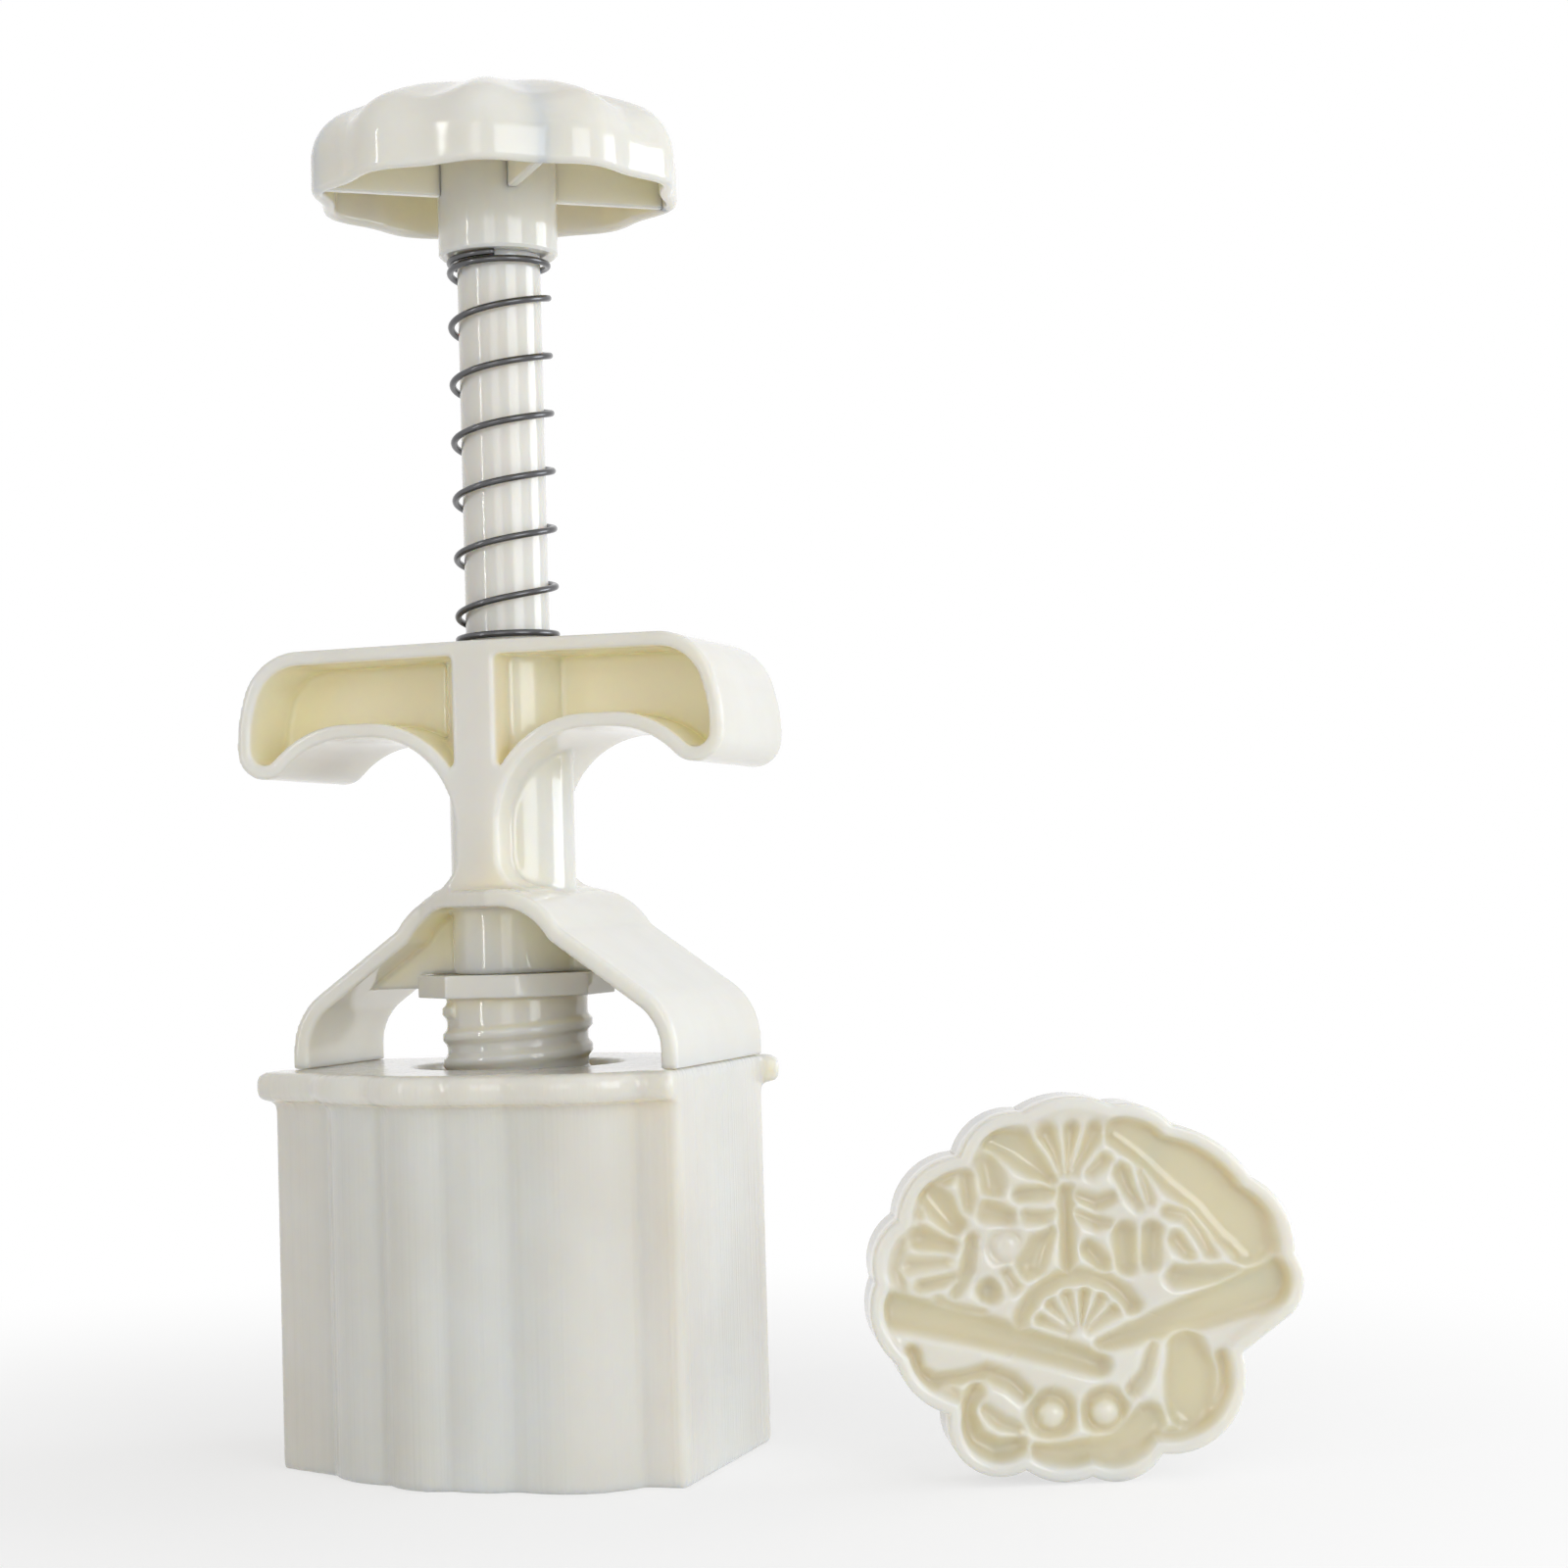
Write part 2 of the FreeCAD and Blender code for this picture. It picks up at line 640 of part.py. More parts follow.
def stem_thread():
    """The helical rib of the stem, rooted a little inside its core."""
    pitch = size("thread_pitch")
    depth = size("thread_depth")
    crest = size("thread_radius")
    root = crest - 1.3 * depth
    foot = value(THREAD_END) + pitch / 2
    rise = size("thread_length") - pitch
    wide = THREAD_ROOT_SHARE * pitch
    narrow = THREAD_CREST_SHARE * pitch
    tooth = Part.makePolygon([
        V(root, 0, -wide),
        V(root, 0, wide),
        V(crest, 0, narrow),
        V(crest, 0, -narrow),
        V(root, 0, -wide),
    ])
    helix = Part.Wire(Part.makeHelix(pitch, rise, crest))
    rib = helix.makePipeShell([tooth], True, True)
    rib.translate(V(0, 0, foot))
    return feature("StemThread", rib)


def stamp_holder():
    flange = doc.addObject("Part::Prism", "HolderFlange")
    flange.Polygon = 8
    bind(flange, Circumradius="Sizes.flange_across / 2", Height="Sizes.flange_thickness")
    flange.Placement = FreeCAD.Placement(V(0, 0, 0), FreeCAD.Rotation(Z_AXIS, 22.5))
    bind(flange, Placement_Base_z=FLANGE_UNDER)
    core = cylinder("HolderCore", "Sizes.thread_radius - Sizes.thread_depth", THREAD_END, FLANGE_UNDER)
    pilot = cylinder("HolderPilot", "Sizes.pilot_radius", STEM_END, THREAD_END)
    thread = stem_thread()
    whole = fused("HolderSolid", [flange, core, pilot, thread])
    seat = cylinder("HolderRodSeat", BORE, ROD_FOOT, above("Sizes.neck_end"))
    hole = cylinder("HolderScrewHole", SCREW_HOLE, below(WEB_UNDER), above(ROD_FOOT))
    recess = cylinder("HolderRecess", "Sizes.stem_recess_radius", below(STEM_END), WEB_UNDER)
    rest = cut("HolderSeated", whole, seat)
    rest = cut("HolderDrilled", rest, hole)
    keep(cut("HolderRecessed", rest, recess), "stamp_holder")


def spring_path():
    """Middle line of the spring: close at both ends and open between."""
    wire = size("spring_wire")
    turns = size("spring_turns")
    radius = size("spring_radius")
    travel = size("spring_free") - 2 * wire
    close_pitch = SPRING_CLOSED_PITCH * wire
    count = int(turns * SPRING_POINTS_PER_TURN)
    slopes = []
    for step in range(count):
        turn = turns * (step + 0.5) / count
        from_end = min(turn, turns - turn)
        share = min((from_end - SPRING_CLOSED_TURNS) / SPRING_EASE_TURNS, 1.0)
        slopes.append(max(share, 0.0))
    spare = travel - close_pitch * turns
    open_rise = spare / sum(slopes)
    height = size("handle_top") + wire
    points = []
    for step in range(count + 1):
        angle = 2 * math.pi * turns * step / count
        points.append(V(radius * math.cos(angle), radius * math.sin(angle), height))
        if step < count:
            height += close_pitch * turns / count + open_rise * slopes[step]
    curve = Part.BSplineCurve()
    curve.interpolate(points)
    return curve


def return_spring():
    curve = spring_path()
    start = curve.value(curve.FirstParameter)
    along = curve.tangent(curve.FirstParameter)[0]
    ring = Part.Wire([Part.Edge(Part.Circle(start, along, size("spring_wire")))])
    coil = Part.Wire([curve.toShape()]).makePipeShell([ring], True, True)
    keep(feature("Spring", coil), "return_spring")


def domed_section(start, radius, corner, crown, inner, dome, rest):
    """Half section: up the side, round its corner and over a dome to the crown's edge."""
    heart = crown - math.sqrt(dome * dome - inner * inner)
    reach = radius - corner
    bend = heart + math.sqrt((dome - corner) ** 2 - reach * reach)
    slope = math.atan2(bend - heart, reach)
    middle = arc_middle(V(inner, crown, 0), V(dome * math.cos(slope), heart + dome * math.sin(slope), 0),
                        dome)
    steps = [
        (None, (radius, bend)),
        ((reach + corner * math.cos(slope / 2), bend + corner * math.sin(slope / 2)),
         (dome * math.cos(slope), heart + dome * math.sin(slope))),
        ((middle.x, middle.y), (inner, crown)),
    ]
    steps.extend((None, place) for place in rest)
    steps.append((None, start))
    return outline(start, steps)


def turned(section):
    return stood_up(Part.Face(section)).revolve(V(0, 0, 0), Z_AXIS, 360)


def knob():
    """Scalloped cap with a hub, a well for its screw and ribs in its hollow."""
    wall = size("knob_wall")
    radius = size("knob_radius")
    dome = size("knob_dome")
    hub = size("hub_radius")
    thick = size("rib_thickness")
    rim = value(KNOB_RIM)
    corner = size("knob_round")
    crown = value(CROWN)
    recess = value(CAP_RECESS)
    seat = value(CAP_SEAT)
    screw_seat = value(KNOB_SCREW_SEAT)
    well = size("screw_head_radius") + size("well_gap")
    hole = value(SCREW_HOLE)
    bore = value(BORE)
    rod_top = value(ROD_TOP)
    foot = value(HUB_FOOT)
    outside = turned(domed_section((radius, rim), radius, corner, crown, recess, dome, [
        (recess, seat),
        (well, seat),
        (well, screw_seat),
        (hole, screw_seat),
        (hole, rod_top),
        (bore, rod_top),
        (bore, foot),
        (hub, foot),
        (hub, rim),
    ]))
    inside = turned(domed_section((radius - wall, rim), radius - wall, corner - wall, crown - wall,
                                  hub, dome - wall, [(hub, rim)]))
    root = hub - ROOT
    tool = size("scallop_radius")
    far = radius + tool - size("scallop_depth")
    tall = crown - rim + 2 * PAST
    ribs = []
    for index in range(KNOB_RIBS):
        rib = Part.makeBox(radius - root, thick, crown - rim,
                           V(root, -thick / 2, rim + size("rib_foot")))
        rib.rotate(V(0, 0, 0), Z_AXIS, size("rib_turn") + 360.0 * index / KNOB_RIBS)
        ribs.append(rib.common(inside))
    scallops = []
    walls = []
    for index in range(KNOB_LOBES):
        turn = 360.0 * (index + 0.5) / KNOB_LOBES
        scallop = Part.makeCylinder(tool, tall, V(far, 0, rim - PAST))
        backing = Part.makeCylinder(tool + wall, tall, V(far, 0, rim - PAST))
        scallop.rotate(V(0, 0, 0), Z_AXIS, turn)
        backing.rotate(V(0, 0, 0), Z_AXIS, turn)
        scallops.append(scallop)
        walls.append(backing)
    shell = outside.cut(scallops).cut(inside.cut(walls))
    keep(feature("Knob", shell.fuse(ribs).removeSplitter()), "knob")


def knob_cap():
    body = turned_body("KnobCap", [
        ("0", CAP_SEAT),
        ("Sizes.cap_radius", CAP_SEAT),
        ("Sizes.cap_radius", CROWN),
        ("Sizes.cap_radius - 2 * Sizes.cap_rise", "%s + Sizes.cap_rise" % CROWN),
        ("0", "%s + Sizes.cap_rise" % CROWN),
    ])
    keep(body, "knob_cap")


def pattern_stamp():
    face = feature("StampOutline", Part.Face(fan_wire(0, False)))
    block = extruded("StampBlock", face, V(0, 0, -1), "Sizes.skirt_depth")
    front = feature("StampFrontOutline", Part.Face(fan_wire(-size("stamp_rim"), False)))
    sunk = extruded("StampSunk", front, V(0, 0, -1), "Sizes.relief_depth")
    behind = feature("StampBackOutline", Part.Face(fan_wire(-size("skirt_wall"), False)))
    hollow = extruded("StampHollow", behind, V(0, 0, -1), above("Sizes.skirt_depth - %s" % STAMP_BACK),
                      start="-%s" % STAMP_BACK)
    shell = cut("StampShell", cut("StampFront", block, sunk), hollow)
    ridges = feature("StampRidges", pattern_ridges())
    boss = cylinder("SocketWall", "%s + Sizes.socket_wall" % SOCKET_RADIUS,
                    "-%s - %s" % (STAMP_BACK, SOCKET_DEPTH), "-%s + %g" % (STAMP_BACK, ROOT))
    ribs = feature("StampRibs", stamp_ribs())
    whole = fused("StampWhole", [shell, ridges, boss, ribs])
    socket = cylinder("Socket", SOCKET_RADIUS, below("-%s - %s" % (STAMP_BACK, SOCKET_DEPTH)),
                      "-%s" % STAMP_BACK)
    stamp = cut("StampDrilled", whole, socket)
    lowest = -FAN_BOX.YMin * fan_ratio()
    place = V(size("stamp_place_x"), size("stamp_place_y"), lowest + FLOOR_CLEARANCE)
    turn = FreeCAD.Rotation(Z_AXIS, size("stamp_turn")).multiply(FreeCAD.Rotation(X_AXIS, 90))
    stamp.Placement = FreeCAD.Placement(place, turn)
    keep(stamp, "pattern_stamp")


def stamp_ribs():
    """Ribs on the back, from the socket out to the skirt."""
    thick = size("stamp_rib")
    back = value(STAMP_BACK)
    deep = size("skirt_depth") - size("stamp_rib_step")
    inside = Part.Face(fan_wire(-size("skirt_wall") / 2, False)).extrude(V(0, 0, -size("skirt_depth")))
    start = value(SOCKET_RADIUS) + ROOT
    ribs = []
    for index in range(STAMP_RIBS):
        rib = Part.makeBox(size("fan_width"), thick, deep - back, V(start, -thick / 2, -deep))
        rib.rotate(V(0, 0, 0), Z_AXIS, 360.0 * index / STAMP_RIBS)
        ribs.append(rib.common(inside))
    return Part.makeCompound(ribs)


def ring(centre, outer, width):
    middle = V(centre[0], centre[1], 0)
    disc = Part.Face(Part.Wire([Part.Edge(Part.Circle(middle, Z_AXIS, outer))]))
    hole = Part.Face(Part.Wire([Part.Edge(Part.Circle(middle, Z_AXIS, outer - width))]))
    return disc.cut(hole)


def bar(start, end, width):
    """A round-ended strip between two points."""
    first = V(start[0], start[1], 0)
    last = V(end[0], end[1], 0)
    along = last.sub(first).normalize()
    side = V(-along.y, along.x, 0).multiply(width / 2)
    reach = V(along).multiply(width / 2)
    edges = [
        Part.LineSegment(first.add(side), last.add(side)).toShape(),
        Part.Arc(last.add(side), last.add(reach), last.sub(side)).toShape(),
        Part.LineSegment(last.sub(side), first.sub(side)).toShape(),
        Part.Arc(first.sub(side), first.sub(reach), first.add(side)).toShape(),
    ]
    return Part.Face(Part.Wire(edges))


def pattern_ridges():
    """Main raised lines of the pattern: guards, little fan, blossoms and two beads."""
    line = size("ridge_width")
    flats = []
    for start, end, width in GUARDS:
        outer = bar(start, end, width)
        flats.append(outer.cut(bar(start, end, width - 2 * line)))
    hub = V(LITTLE_FAN[0], LITTLE_FAN[1], 0)
    radius = LITTLE_FAN_RADIUS
    upper = Part.makePlane(2 * radius, radius, hub.add(V(-radius, LITTLE_FAN_FOOT, 0)))
    flats.append(ring(hub, radius, line).common(upper))
    for angle in RAY_ANGLES:
        way = V(math.cos(math.radians(angle)), math.sin(math.radians(angle)), 0)
        first = hub.add(V(way).multiply(RAY_START))
        last = hub.add(V(way).multiply(RAY_END))
        flats.append(bar(first, last, line))
    for centre, reach in BLOSSOMS:
        for petal in range(PETALS):
            angle = math.radians(90 + 360.0 * petal / PETALS)
            middle = (centre[0] + reach * math.cos(angle), centre[1] + reach * math.sin(angle))
            flats.append(ring(middle, PETAL_SHARE * reach + line / 2, line))
    for centre, radius in BEADS:
        flats.append(ring(centre, radius, line))
    depth = size("relief_depth")
    ratio = fan_ratio()
    solids = []
    for flat in flats:
        for face in flat.Faces:
            moved = face.copy()
            moved.scale(ratio, V(0, 0, 0))
            moved.translate(V(0, 0, -depth - ROOT))
            solids.append(moved.extrude(V(0, 0, depth + ROOT)))
    union = solids[0].fuse(solids[1:])
    return union.removeSplitter()


mould_barrel()
handle_yoke()
plunger_rod()
return_spring()
knob()
knob_cap()
screw("KnobScrew", "knob_screw", KNOB_SCREW_SEAT, False)
stamp_holder()
holder_washer()
screw("HolderScrew", "holder_screw", HEAD_SEAT, True)
pattern_stamp()
doc.recompute()

for thing in doc.Objects:
    if "Invalid" in thing.State or "Error" in thing.State:
        raise RuntimeError("%s is %s" % (thing.Name, thing.State))

os.makedirs("parts", exist_ok=True)
for thing in made:
    if thing.Shape.isNull() or not thing.Shape.isValid():
        raise RuntimeError("%s has no valid shape" % thing.Label)
    thing.Shape.exportStep("parts/%s.step" % thing.Label)
    print("%-16s %d solid(s) %10.1f mm3" % (thing.Label, len(thing.Shape.Solids), thing.Shape.Volume))
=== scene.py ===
import math

import bmesh
import bpy
import numpy as np
from mathutils import Matrix, Vector


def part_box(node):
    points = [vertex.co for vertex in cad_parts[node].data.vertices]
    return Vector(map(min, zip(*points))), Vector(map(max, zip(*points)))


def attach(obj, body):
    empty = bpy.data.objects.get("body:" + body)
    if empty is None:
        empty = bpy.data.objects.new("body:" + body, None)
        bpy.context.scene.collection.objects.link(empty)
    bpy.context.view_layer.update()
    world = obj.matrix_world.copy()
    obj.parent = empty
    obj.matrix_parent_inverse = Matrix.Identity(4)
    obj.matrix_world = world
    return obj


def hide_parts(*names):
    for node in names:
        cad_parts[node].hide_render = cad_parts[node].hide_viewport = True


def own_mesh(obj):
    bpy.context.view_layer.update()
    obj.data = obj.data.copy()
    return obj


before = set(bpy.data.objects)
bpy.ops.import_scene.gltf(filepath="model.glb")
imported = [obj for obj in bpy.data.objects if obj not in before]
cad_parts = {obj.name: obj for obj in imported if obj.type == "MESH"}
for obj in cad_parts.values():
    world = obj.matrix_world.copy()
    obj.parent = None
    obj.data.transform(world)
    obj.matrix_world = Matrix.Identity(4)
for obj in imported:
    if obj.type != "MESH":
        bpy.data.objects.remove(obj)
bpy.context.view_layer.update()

# Looks of a spring-return mooncake press with its fan-shaped stamp standing beside it.
# Metres, in the part's own frame: the origin is the middle of the barrel's mouth, +Z runs
# up the plunger, -Y is the front and +X is the side on which the stamp stands.

MM = 0.001

# Camera: azimuth from the front towards +X, distance and height, and the point aimed at.
CAMERA_AZIMUTH = math.radians(22.81)
CAMERA_DISTANCE = 408.5 * MM
CAMERA_HEIGHT = 72.45 * MM
CAMERA_ROLL = math.radians(-1.647)
AIM_ASIDE = 36.6 * MM
AIM_HEIGHT = 88.4 * MM
LENS = 69.8                 # millimetres, as is the sensor
SENSOR = 36.0
CLIP_START = 10.0 * MM

# Rounding of the moulded edges: the node, the cell of its even mesh, and the passes of
# smoothing over it.
EDGE_ROUNDING = [
    ("mould_barrel", 0.4 * MM, 18),
    ("handle_yoke", 0.35 * MM, 4),
    ("stamp_holder", 0.2 * MM, 3),
]
WELD_DISTANCE = 0.002 * MM
SMOOTHING_FACTOR = 0.5
MERGE_DISTANCE = 0.0001 * MM

# Knob, in millimetres, as in the solids, with its flutes run up over the dome.
KNOB_RADIUS = 25.0
KNOB_RIM = 7.5              # rim above the hub's foot
KNOB_WALL = 1.8
KNOB_CORNER = 7.0           # radius between the side and the dome
KNOB_DOME = 51.0            # radius of the dome
KNOB_HUB = 8.0
KNOB_EDGE = 0.4             # bevel at the hub's foot
KNOB_BORE = 5.65            # radius of the rod's hole
KNOB_ROD_END = 12.0         # depth of the rod's hole
KNOB_SCREW_HOLE = 2.0
KNOB_WELL = 4.4             # radius of the screw head's well
KNOB_WELL_DEPTH = 5.8
KNOB_CAP = 6.6              # radius of the cap's seat
KNOB_CAP_DEPTH = 2.4
KNOB_LOBES = 10
KNOB_FLUTE = 1.3            # full depth of a flute
KNOB_FLUTE_END = 5.0        # radius at which a flute has run out
KNOB_FLUTE_FULL = 21.0      # radius from which it is full
KNOB_RIBS = 4
KNOB_RIB = 1.4
KNOB_RIB_FOOT = 0.4         # ribs' foot above the rim
KNOB_RIB_TURN = math.radians(38.0)
# A rib's section: share of its thickness aside, and height above its foot.
KNOB_RIB_SECTION = ((-0.5, 0.25), (-0.35, 0.0), (0.35, 0.0), (0.5, 0.25))
KNOB_COUNT = 360            # points round the knob
KNOB_SIDE_POINTS = 6
KNOB_CORNER_POINTS = 13
KNOB_DOME_POINTS = 17
KNOB_LIP_POINTS = 9
KNOB_SHARP = math.radians(36)

# Spring, as in the solids.
SPRING_WIRE = 0.45 * MM
SPRING_RADIUS = 6.55 * MM
SPRING_TURNS = 8.8
SPRING_CLOSED_TURNS = 1.0
SPRING_EASE_TURNS = 0.5
SPRING_CLOSED_PITCH = 2.1   # in wire radii
SPRING_STEPS = 56           # points in a turn
SPRING_SIDES = 14           # points round the wire

# Stamp, as in the solids.
STAMP_PLACE_X = 78.0 * MM
STAMP_PLACE_Y = -7.0 * MM
STAMP_TURN = math.radians(21.5)
FAN_WIDTH = 54.0 * MM

# The stamp's back, in millimetres.
STAMP_SKIRT_DEPTH = 10.0
STAMP_SKIRT_WALL = 1.8
STAMP_BACK = 4.7
STAMP_SOCKET_RADIUS = 10.25
STAMP_SOCKET_WALL = 2.4
STAMP_SOCKET_DEPTH = 15.4
STAMP_SOCKET_MIDDLE = 0.05  # radius of the small disc that closes the socket
STAMP_EDGE = 0.3            # bevels of its edges
STAMP_SKIRT_EDGES = (0.1, 0.9)              # shares of the skirt's wall
STAMP_BACK_SHARES = (0.03, 0.3, 0.6, 0.97)  # shares of the way in to the socket's wall
STAMP_RIBS = 6
STAMP_RIB = 1.6
STAMP_RIB_STEP = 2.0        # ribs' edge inside the skirt's edge
STAMP_NORMAL_SPAN = 4       # neighbours on each side that give the outline's direction

# The fan's outline in millimetres as drawn, u to the right and v up on the stamp's face:
# each step is an arc through a lobe's peak to the next valley, or a line without a peak.
FAN_START = (-26.3, 1.2)
FAN_STEPS = [
    ((-25.9, 6.2), (-23.4, 9.0)),
    ((-21.5, 13.6), (-15.5, 16.6)),
    ((-12.6, 20.5), (-7.3, 21.8)),
    ((-1.7, 23.5), (3.7, 22.4)),
    ((7.8, 22.0), (11.1, 19.7)),
    ((17.2, 16.9), (20.9, 12.8)),
    ((24.5, 9.5), (26.0, 3.3)),
    ((27.0, -1.2), (25.4, -4.2)),
    (None, (19.0, -8.8)),
    ((18.1, -16.3), (8.6, -20.8)),
    ((4.5, -23.8), (-0.2, -23.2)),
    ((-3.8, -23.8), (-8.4, -22.1)),
    ((-13.7, -22.4), (-17.7, -14.9)),
    ((-22.0, -12.2), (-24.0, -8.6)),
    ((-27.0, -2.6), (-26.3, 1.2)),
]
FAN_ARC_POINTS = 24         # points on each step

# The stamp's face: a rounded lip round smooth hollows. A hollow is a chain of round dips
# (u, v, radius) that run into each other, and has a depth, all in millimetres.
LIP_ROUND = 0.5             # rounding of the lip's outer edge
LIP_WIDTH = 1.2
LIP_SLOPE = 1.1             # width of the slope from the lip down to the land
LAND = 0.6                  # depth of the land between the hollows
HOLLOW_EDGE = 1.35          # width over which a hollow's wall falls
HOLLOW_SKIRT = 0.95         # how far that wall starts outside the dips
RELIEF_SMOOTHING = 6        # passes
RELIEF_RAYS = 640           # points round a ring
RELIEF_RINGS = 110          # even rings
RELIEF_FIRST = 0.004        # first and last even ring, as shares of the way to the edge
RELIEF_LAST = 0.935
RELIEF_EDGE_GAPS = (0.055, 0.04, 0.03, 0.022, 0.016, 0.011, 0.007, 0.004, 0.0015, 0.0)
HOLLOWS = [
    # The two guards of the fan.
    (2.2, [(-24.0, -2.0, 2.2), (-13.0, -5.0, 1.9), (-3.4, -8.0, 1.6), (1.1, -9.6, 1.4)]),
    (2.1, [(23.4, -0.2, 3.0), (13.2, -3.8, 2.2), (4.9, -6.2, 1.3), (1.6, -7.2, 0.8)]),
    # The hollows along the fan's upper edge.
    (2.1, [(-11.2, 18.4, 1.7), (-8.2, 17.4, 2.2), (-6.0, 15.2, 1.7), (-4.2, 13.4, 1.0)]),
    (1.8, [(-11.9, 15.6, 1.5), (-11.4, 12.8, 1.5)]),
    (2.0, [(-4.4, 18.8, 1.3), (-3.4, 16.6, 0.8), (-2.7, 13.9, 0.4)]),
    (2.0, [(-1.3, 19.3, 1.0), (-1.6, 16.8, 0.7), (-2.0, 14.0, 0.4)]),
    (2.0, [(1.6, 19.0, 1.2), (0.2, 16.4, 0.8), (-1.2, 14.1, 0.4)]),
    (1.7, [(2.6, 15.4, 1.0), (0.9, 14.0, 0.6)]),
    (2.1, [(4.8, 18.8, 2.0), (8.6, 17.0, 3.0), (12.4, 14.2, 3.7), (16.2, 11.4, 4.1),
           (19.2, 7.8, 4.2), (20.8, 4.4, 3.0)]),
    # The left blossom.
    (2.1, [(-19.6, 12.4, 1.6), (-17.8, 10.4, 1.9), (-16.4, 8.2, 1.4)]),
    (1.9, [(-14.6, 13.8, 1.0), (-14.4, 10.4, 0.9)]),
    (2.0, [(-20.4, 6.6, 1.6), (-16.8, 5.6, 1.0)]),
    (1.5, [(-21.8, 3.4, 1.4), (-17.6, 3.6, 0.9)]),
    (1.8, [(-20.6, 0.7, 1.0), (-16.4, 1.6, 0.7)]),
    (2.0, [(-14.2, 6.4, 0.6), (-14.9, 2.6, 0.8), (-16.6, -0.6, 0.5)]),
    (2.0, [(-12.2, -0.1, 1.5)]),
    (1.9, [(-18.6, -1.2, 0.8), (-16.0, -2.5, 0.9), (-13.2, -2.9, 0.6)]),
    (1.8, [(-12.0, 9.8, 1.4), (-9.6, 8.9, 1.0)]),
    (1.6, [(-9.9, 1.8, 0.9), (-8.9, 0.2, 0.8)]),
    # The middle blossom and its stem.
    (2.1, [(-2.3, 11.6, 1.1), (-2.3, 7.6, 0.9), (-2.3, 1.8, 0.8)]),
    (1.9, [(-7.9, 11.6, 0.9), (-5.2, 11.8, 1.1), (-3.6, 11.6, 0.6)]),
    (1.7, [(-7.2, 8.9, 0.8), (-5.2, 8.6, 0.9), (-3.7, 9.2, 0.4)]),
    (1.9, [(-6.9, 2.9, 1.9), (-5.8, 5.2, 1.5), (-4.2, 6.8, 0.7)]),
    (1.9, [(-0.8, 11.2, 0.6), (1.5, 10.2, 1.0), (3.4, 10.9, 0.6)]),
    (1.8, [(-0.9, 9.0, 0.6), (1.6, 7.8, 0.9), (2.9, 7.6, 0.5)]),
    (2.0, [(0.4, 4.6, 1.0), (2.0, 2.8, 1.3)]),
    # The right blossom.
    (1.9, [(4.8, 14.0, 1.1), (5.6, 11.8, 0.9), (6.9, 9.8, 0.5)]),
    (1.8, [(7.4, 13.8, 0.7), (8.2, 10.2, 0.5)]),
    (2.1, [(4.9, 6.2, 1.5), (5.1, 2.8, 1.5)]),
    (2.0, [(8.3, 6.4, 1.3), (8.0, 3.0, 1.3)]),
    (1.8, [(10.4, 8.8, 0.8), (12.8, 8.3, 1.1), (14.6, 5.8, 1.2), (15.6, 3.6, 0.8)]),
    (1.8, [(11.4, 5.4, 1.1), (12.8, 3.4, 0.8)]),
    (1.9, [(11.4, 0.9, 1.4), (15.9, 0.6, 1.4), (19.2, 1.2, 0.7)]),
    # The tassel, and the hollow between it and the beads.
    (2.2, [(12.0, -7.8, 2.2), (12.8, -11.6, 3.4), (12.6, -15.4, 3.2)]),
    (1.7, [(8.0, -7.4, 0.6), (6.9, -10.9, 0.7), (5.2, -13.0, 0.9)]),
    (2.0, [(7.2, -17.0, 2.4), (3.2, -19.8, 2.0), (-2.2, -20.4, 1.5), (-6.6, -20.0, 1.1)]),
    # Hollows that follow the fan's lobes, just inside the lip.
    (1.6, [(16.6, -9.6, 1.2), (16.8, -13.0, 1.3), (14.0, -17.2, 1.4), (9.6, -18.6, 1.2)]),
    (1.5, [(-20.6, 9.6, 0.7), (-18.6, 13.0, 0.9), (-15.4, 15.0, 0.8)]),
    (1.4, [(-22.6, 6.2, 0.7), (-23.6, 2.8, 0.9), (-22.8, 0.2, 0.7)]),
    (1.4, [(-18.6, -10.8, 0.9), (-16.4, -12.8, 0.9)]),
    # The ribbon and its loop.
    (2.0, [(-22.0, -7.3, 0.8), (-21.6, -9.7, 0.9), (-19.5, -11.0, 0.9), (-15.6, -10.6, 0.9),
           (-12.8, -10.0, 1.0), (-9.9, -11.2, 1.0), (-8.0, -13.0, 0.9)]),
    (2.1, [(-14.3, -12.2, 1.1), (-15.6, -15.0, 1.2), (-14.6, -18.2, 1.4), (-11.8, -19.8, 1.6),
           (-9.2, -19.2, 1.2)]),
    (1.8, [(-13.2, -14.6, 0.7), (-11.2, -16.4, 0.9), (-9.2, -17.2, 0.9)]),
]
# The little fan: a band round short rays, about its own hub.
LITTLE_FAN = (-1.1, -6.2)
LITTLE_BAND_RADIUS = 7.6
LITTLE_BAND_HALF = 1.05
LITTLE_BAND_ANGLES = (172, 156, 140, 124, 108, 92, 76, 60, 44, 28)
LITTLE_RAY_ANGLES = (154, 130, 106, 82, 58, 36)
LITTLE_RAY_START = 1.6
LITTLE_RAY_END = 5.3
LITTLE_RAY_RADII = (0.3, 0.85)
LITTLE_DEPTH = 1.9
# Domes that stand in round hollows: (u, v), the hollow's radius and the dome's.
BEADS = [((-4.9, -15.6), 3.2, 2.0), ((1.8, -15.5), 3.1, 2.0)]
BEAD_DEPTH = 2.0
BEAD_RISE = 1.75
# A round petal inside a thin groove: (u, v), and the groove's radius, half width and depth.
PETAL = ((-10.0, 5.2), 1.9, 0.35, 0.9)

